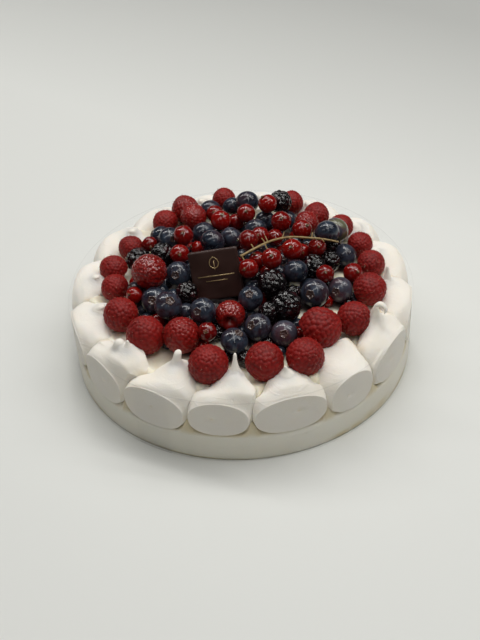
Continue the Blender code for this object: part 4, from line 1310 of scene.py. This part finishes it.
def plaque_axes():
    lean, turn, roll = (math.radians(v) for v in (PLAQUE_LEAN, PLAQUE_TURN, PLAQUE_ROLL))
    front = np.array([math.sin(turn) * math.cos(lean), -math.cos(turn) * math.cos(lean), math.sin(lean)])
    right = np.cross((0, 0, 1), front)
    right /= np.linalg.norm(right)
    up = np.cross(front, right)
    side = right * math.cos(roll) + up * math.sin(roll)
    top = up * math.cos(roll) - right * math.sin(roll)
    return side, top, front


def plaque():
    side, top, front = plaque_axes()
    at = np.array(PLAQUE_AT)

    def to_world(local):
        return at + np.outer(local[:, 0], side) + np.outer(local[:, 1], top) + np.outer(local[:, 2], front)

    # rounded square, softened along its edges, a touch thicker in the middle
    n = 16
    h, c = PLAQUE / 2, 1.0
    outline = []
    for cx, cy, a0 in ((h - c, h - c, 0), (-h + c, h - c, 90), (-h + c, -h + c, 180), (h - c, -h + c, 270)):
        for k in range(6):
            a = math.radians(a0 + 90 * k / 5)
            outline.append((cx + c * math.cos(a), cy + c * math.sin(a)))
    dense = []
    m = len(outline)
    for i in range(m):
        p, q = np.array(outline[i]), np.array(outline[(i + 1) % m])
        steps = max(1, int(np.linalg.norm(q - p) / 2.0))
        dense += [tuple(p + (q - p) * k / steps) for k in range(steps)]
    o = np.array(dense)
    rings = []
    for scale, depth in ((0.2, 0.0), (0.45, 0.0), (0.7, 0.0), (0.9, 0.0), (0.965, -0.04), (0.992, -0.28), (1.0, -0.8),
                         (1.0, -1.5), (1.0, -2.3), (0.992, -2.75), (0.965, -2.97), (0.9, -3.0), (0.6, -3.0), (0.3, -3.0)):
        ring = np.column_stack([o * scale, np.full(len(o), depth)])
        if depth > -0.5:
            ring[:, 2] += 0.10 * np.sin(ring[:, 0] * 0.21 + 0.5) * np.cos(ring[:, 1] * 0.17) * (scale < 0.97)
        rings.append(ring)
    rings = np.stack(rings)
    verts, tris, quads = capped(rings)
    ob = mesh_object("chocolate_plaque", to_world(verts), [tris, quads], [CHOCOLATE])
    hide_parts("plaque")
    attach(ob, "root")

    # a plain gold ornament: a small leaf pair over two fine rules
    gold = Heap()

    def stroke(points, width):
        pts = np.asarray(points, float)
        local = np.column_stack([pts, np.full(len(pts), 0.06)])
        v, t, q = tube(local, width, 8, squash=1.0)
        v[:, 2] = 0.06 + (v[:, 2] - 0.06) * 0.35
        gold.add(to_world(v), t, q)

    for sign in (-1, 1):
        leaf = [(0.0, 3.6), (sign * 1.8, 4.6), (sign * 2.6, 6.6), (sign * 1.9, 8.8), (0.0, 10.4)]
        stroke(spline(leaf, np.linspace(0, 1, 24)), 0.26)
    stroke([(0.0, 2.6), (0.0, 5.0), (0.0, 8.2)], 0.22)
    stroke([(-10.6, -0.6), (0.0, -0.6), (10.6, -0.6)], 0.34)
    stroke([(-6.2, -3.4), (0.0, -3.4), (6.2, -3.4)], 0.24)
    ob = gold.build("plaque_ornament", [GOLD])
    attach(ob, "root")


def film():
    stations = 300 if FINE else 140
    rings = []
    for k in range(stations + 1):
        turn = 372.0 * k / stations
        lap = float(smooth(352.0, 359.0, turn))
        r = 99.6 + lap * 0.32 + 0.05 * math.sin(math.radians(turn * 7)) * (1 - lap)
        az = 233.0 + turn
        t = 0.16
        top = FILM_H + 0.15 * math.sin(math.radians(turn * 3 + 40))
        low = 0.15 + 0.25 * max(0.0, math.sin(math.radians(turn * 5 + 250)))
        outer = [(r + t, z) for z in (low, low + 0.9, 14, 29, top - 0.45, top)]
        inner = [(r, z) for z in (top, top - 0.45, 29, 14, low + 0.9, low)]
        rings.append([polar(az, radius, z) for radius, z in outer + inner])
    verts, tris, quads = capped(np.array(rings))
    # the top and bottom bands take the darker edge material; at the foot this is painted contact shade as well as the
    # film's edge
    cols = 12
    column = np.arange(len(quads)) % cols
    edge = np.isin(column, (0, 4, 5, 6, 10, 11))
    slots = np.concatenate([np.ones(len(tris)), edge]).astype(int)
    ob = mesh_object("film_wrap", verts, [tris, quads], [FILM, FILM_EDGE], slots=slots, smooth=False)
    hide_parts("film_collar")
    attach(ob, "root")


camera()
studio()
meringue()
cream(heap_of_fruit())
plaque()
film()
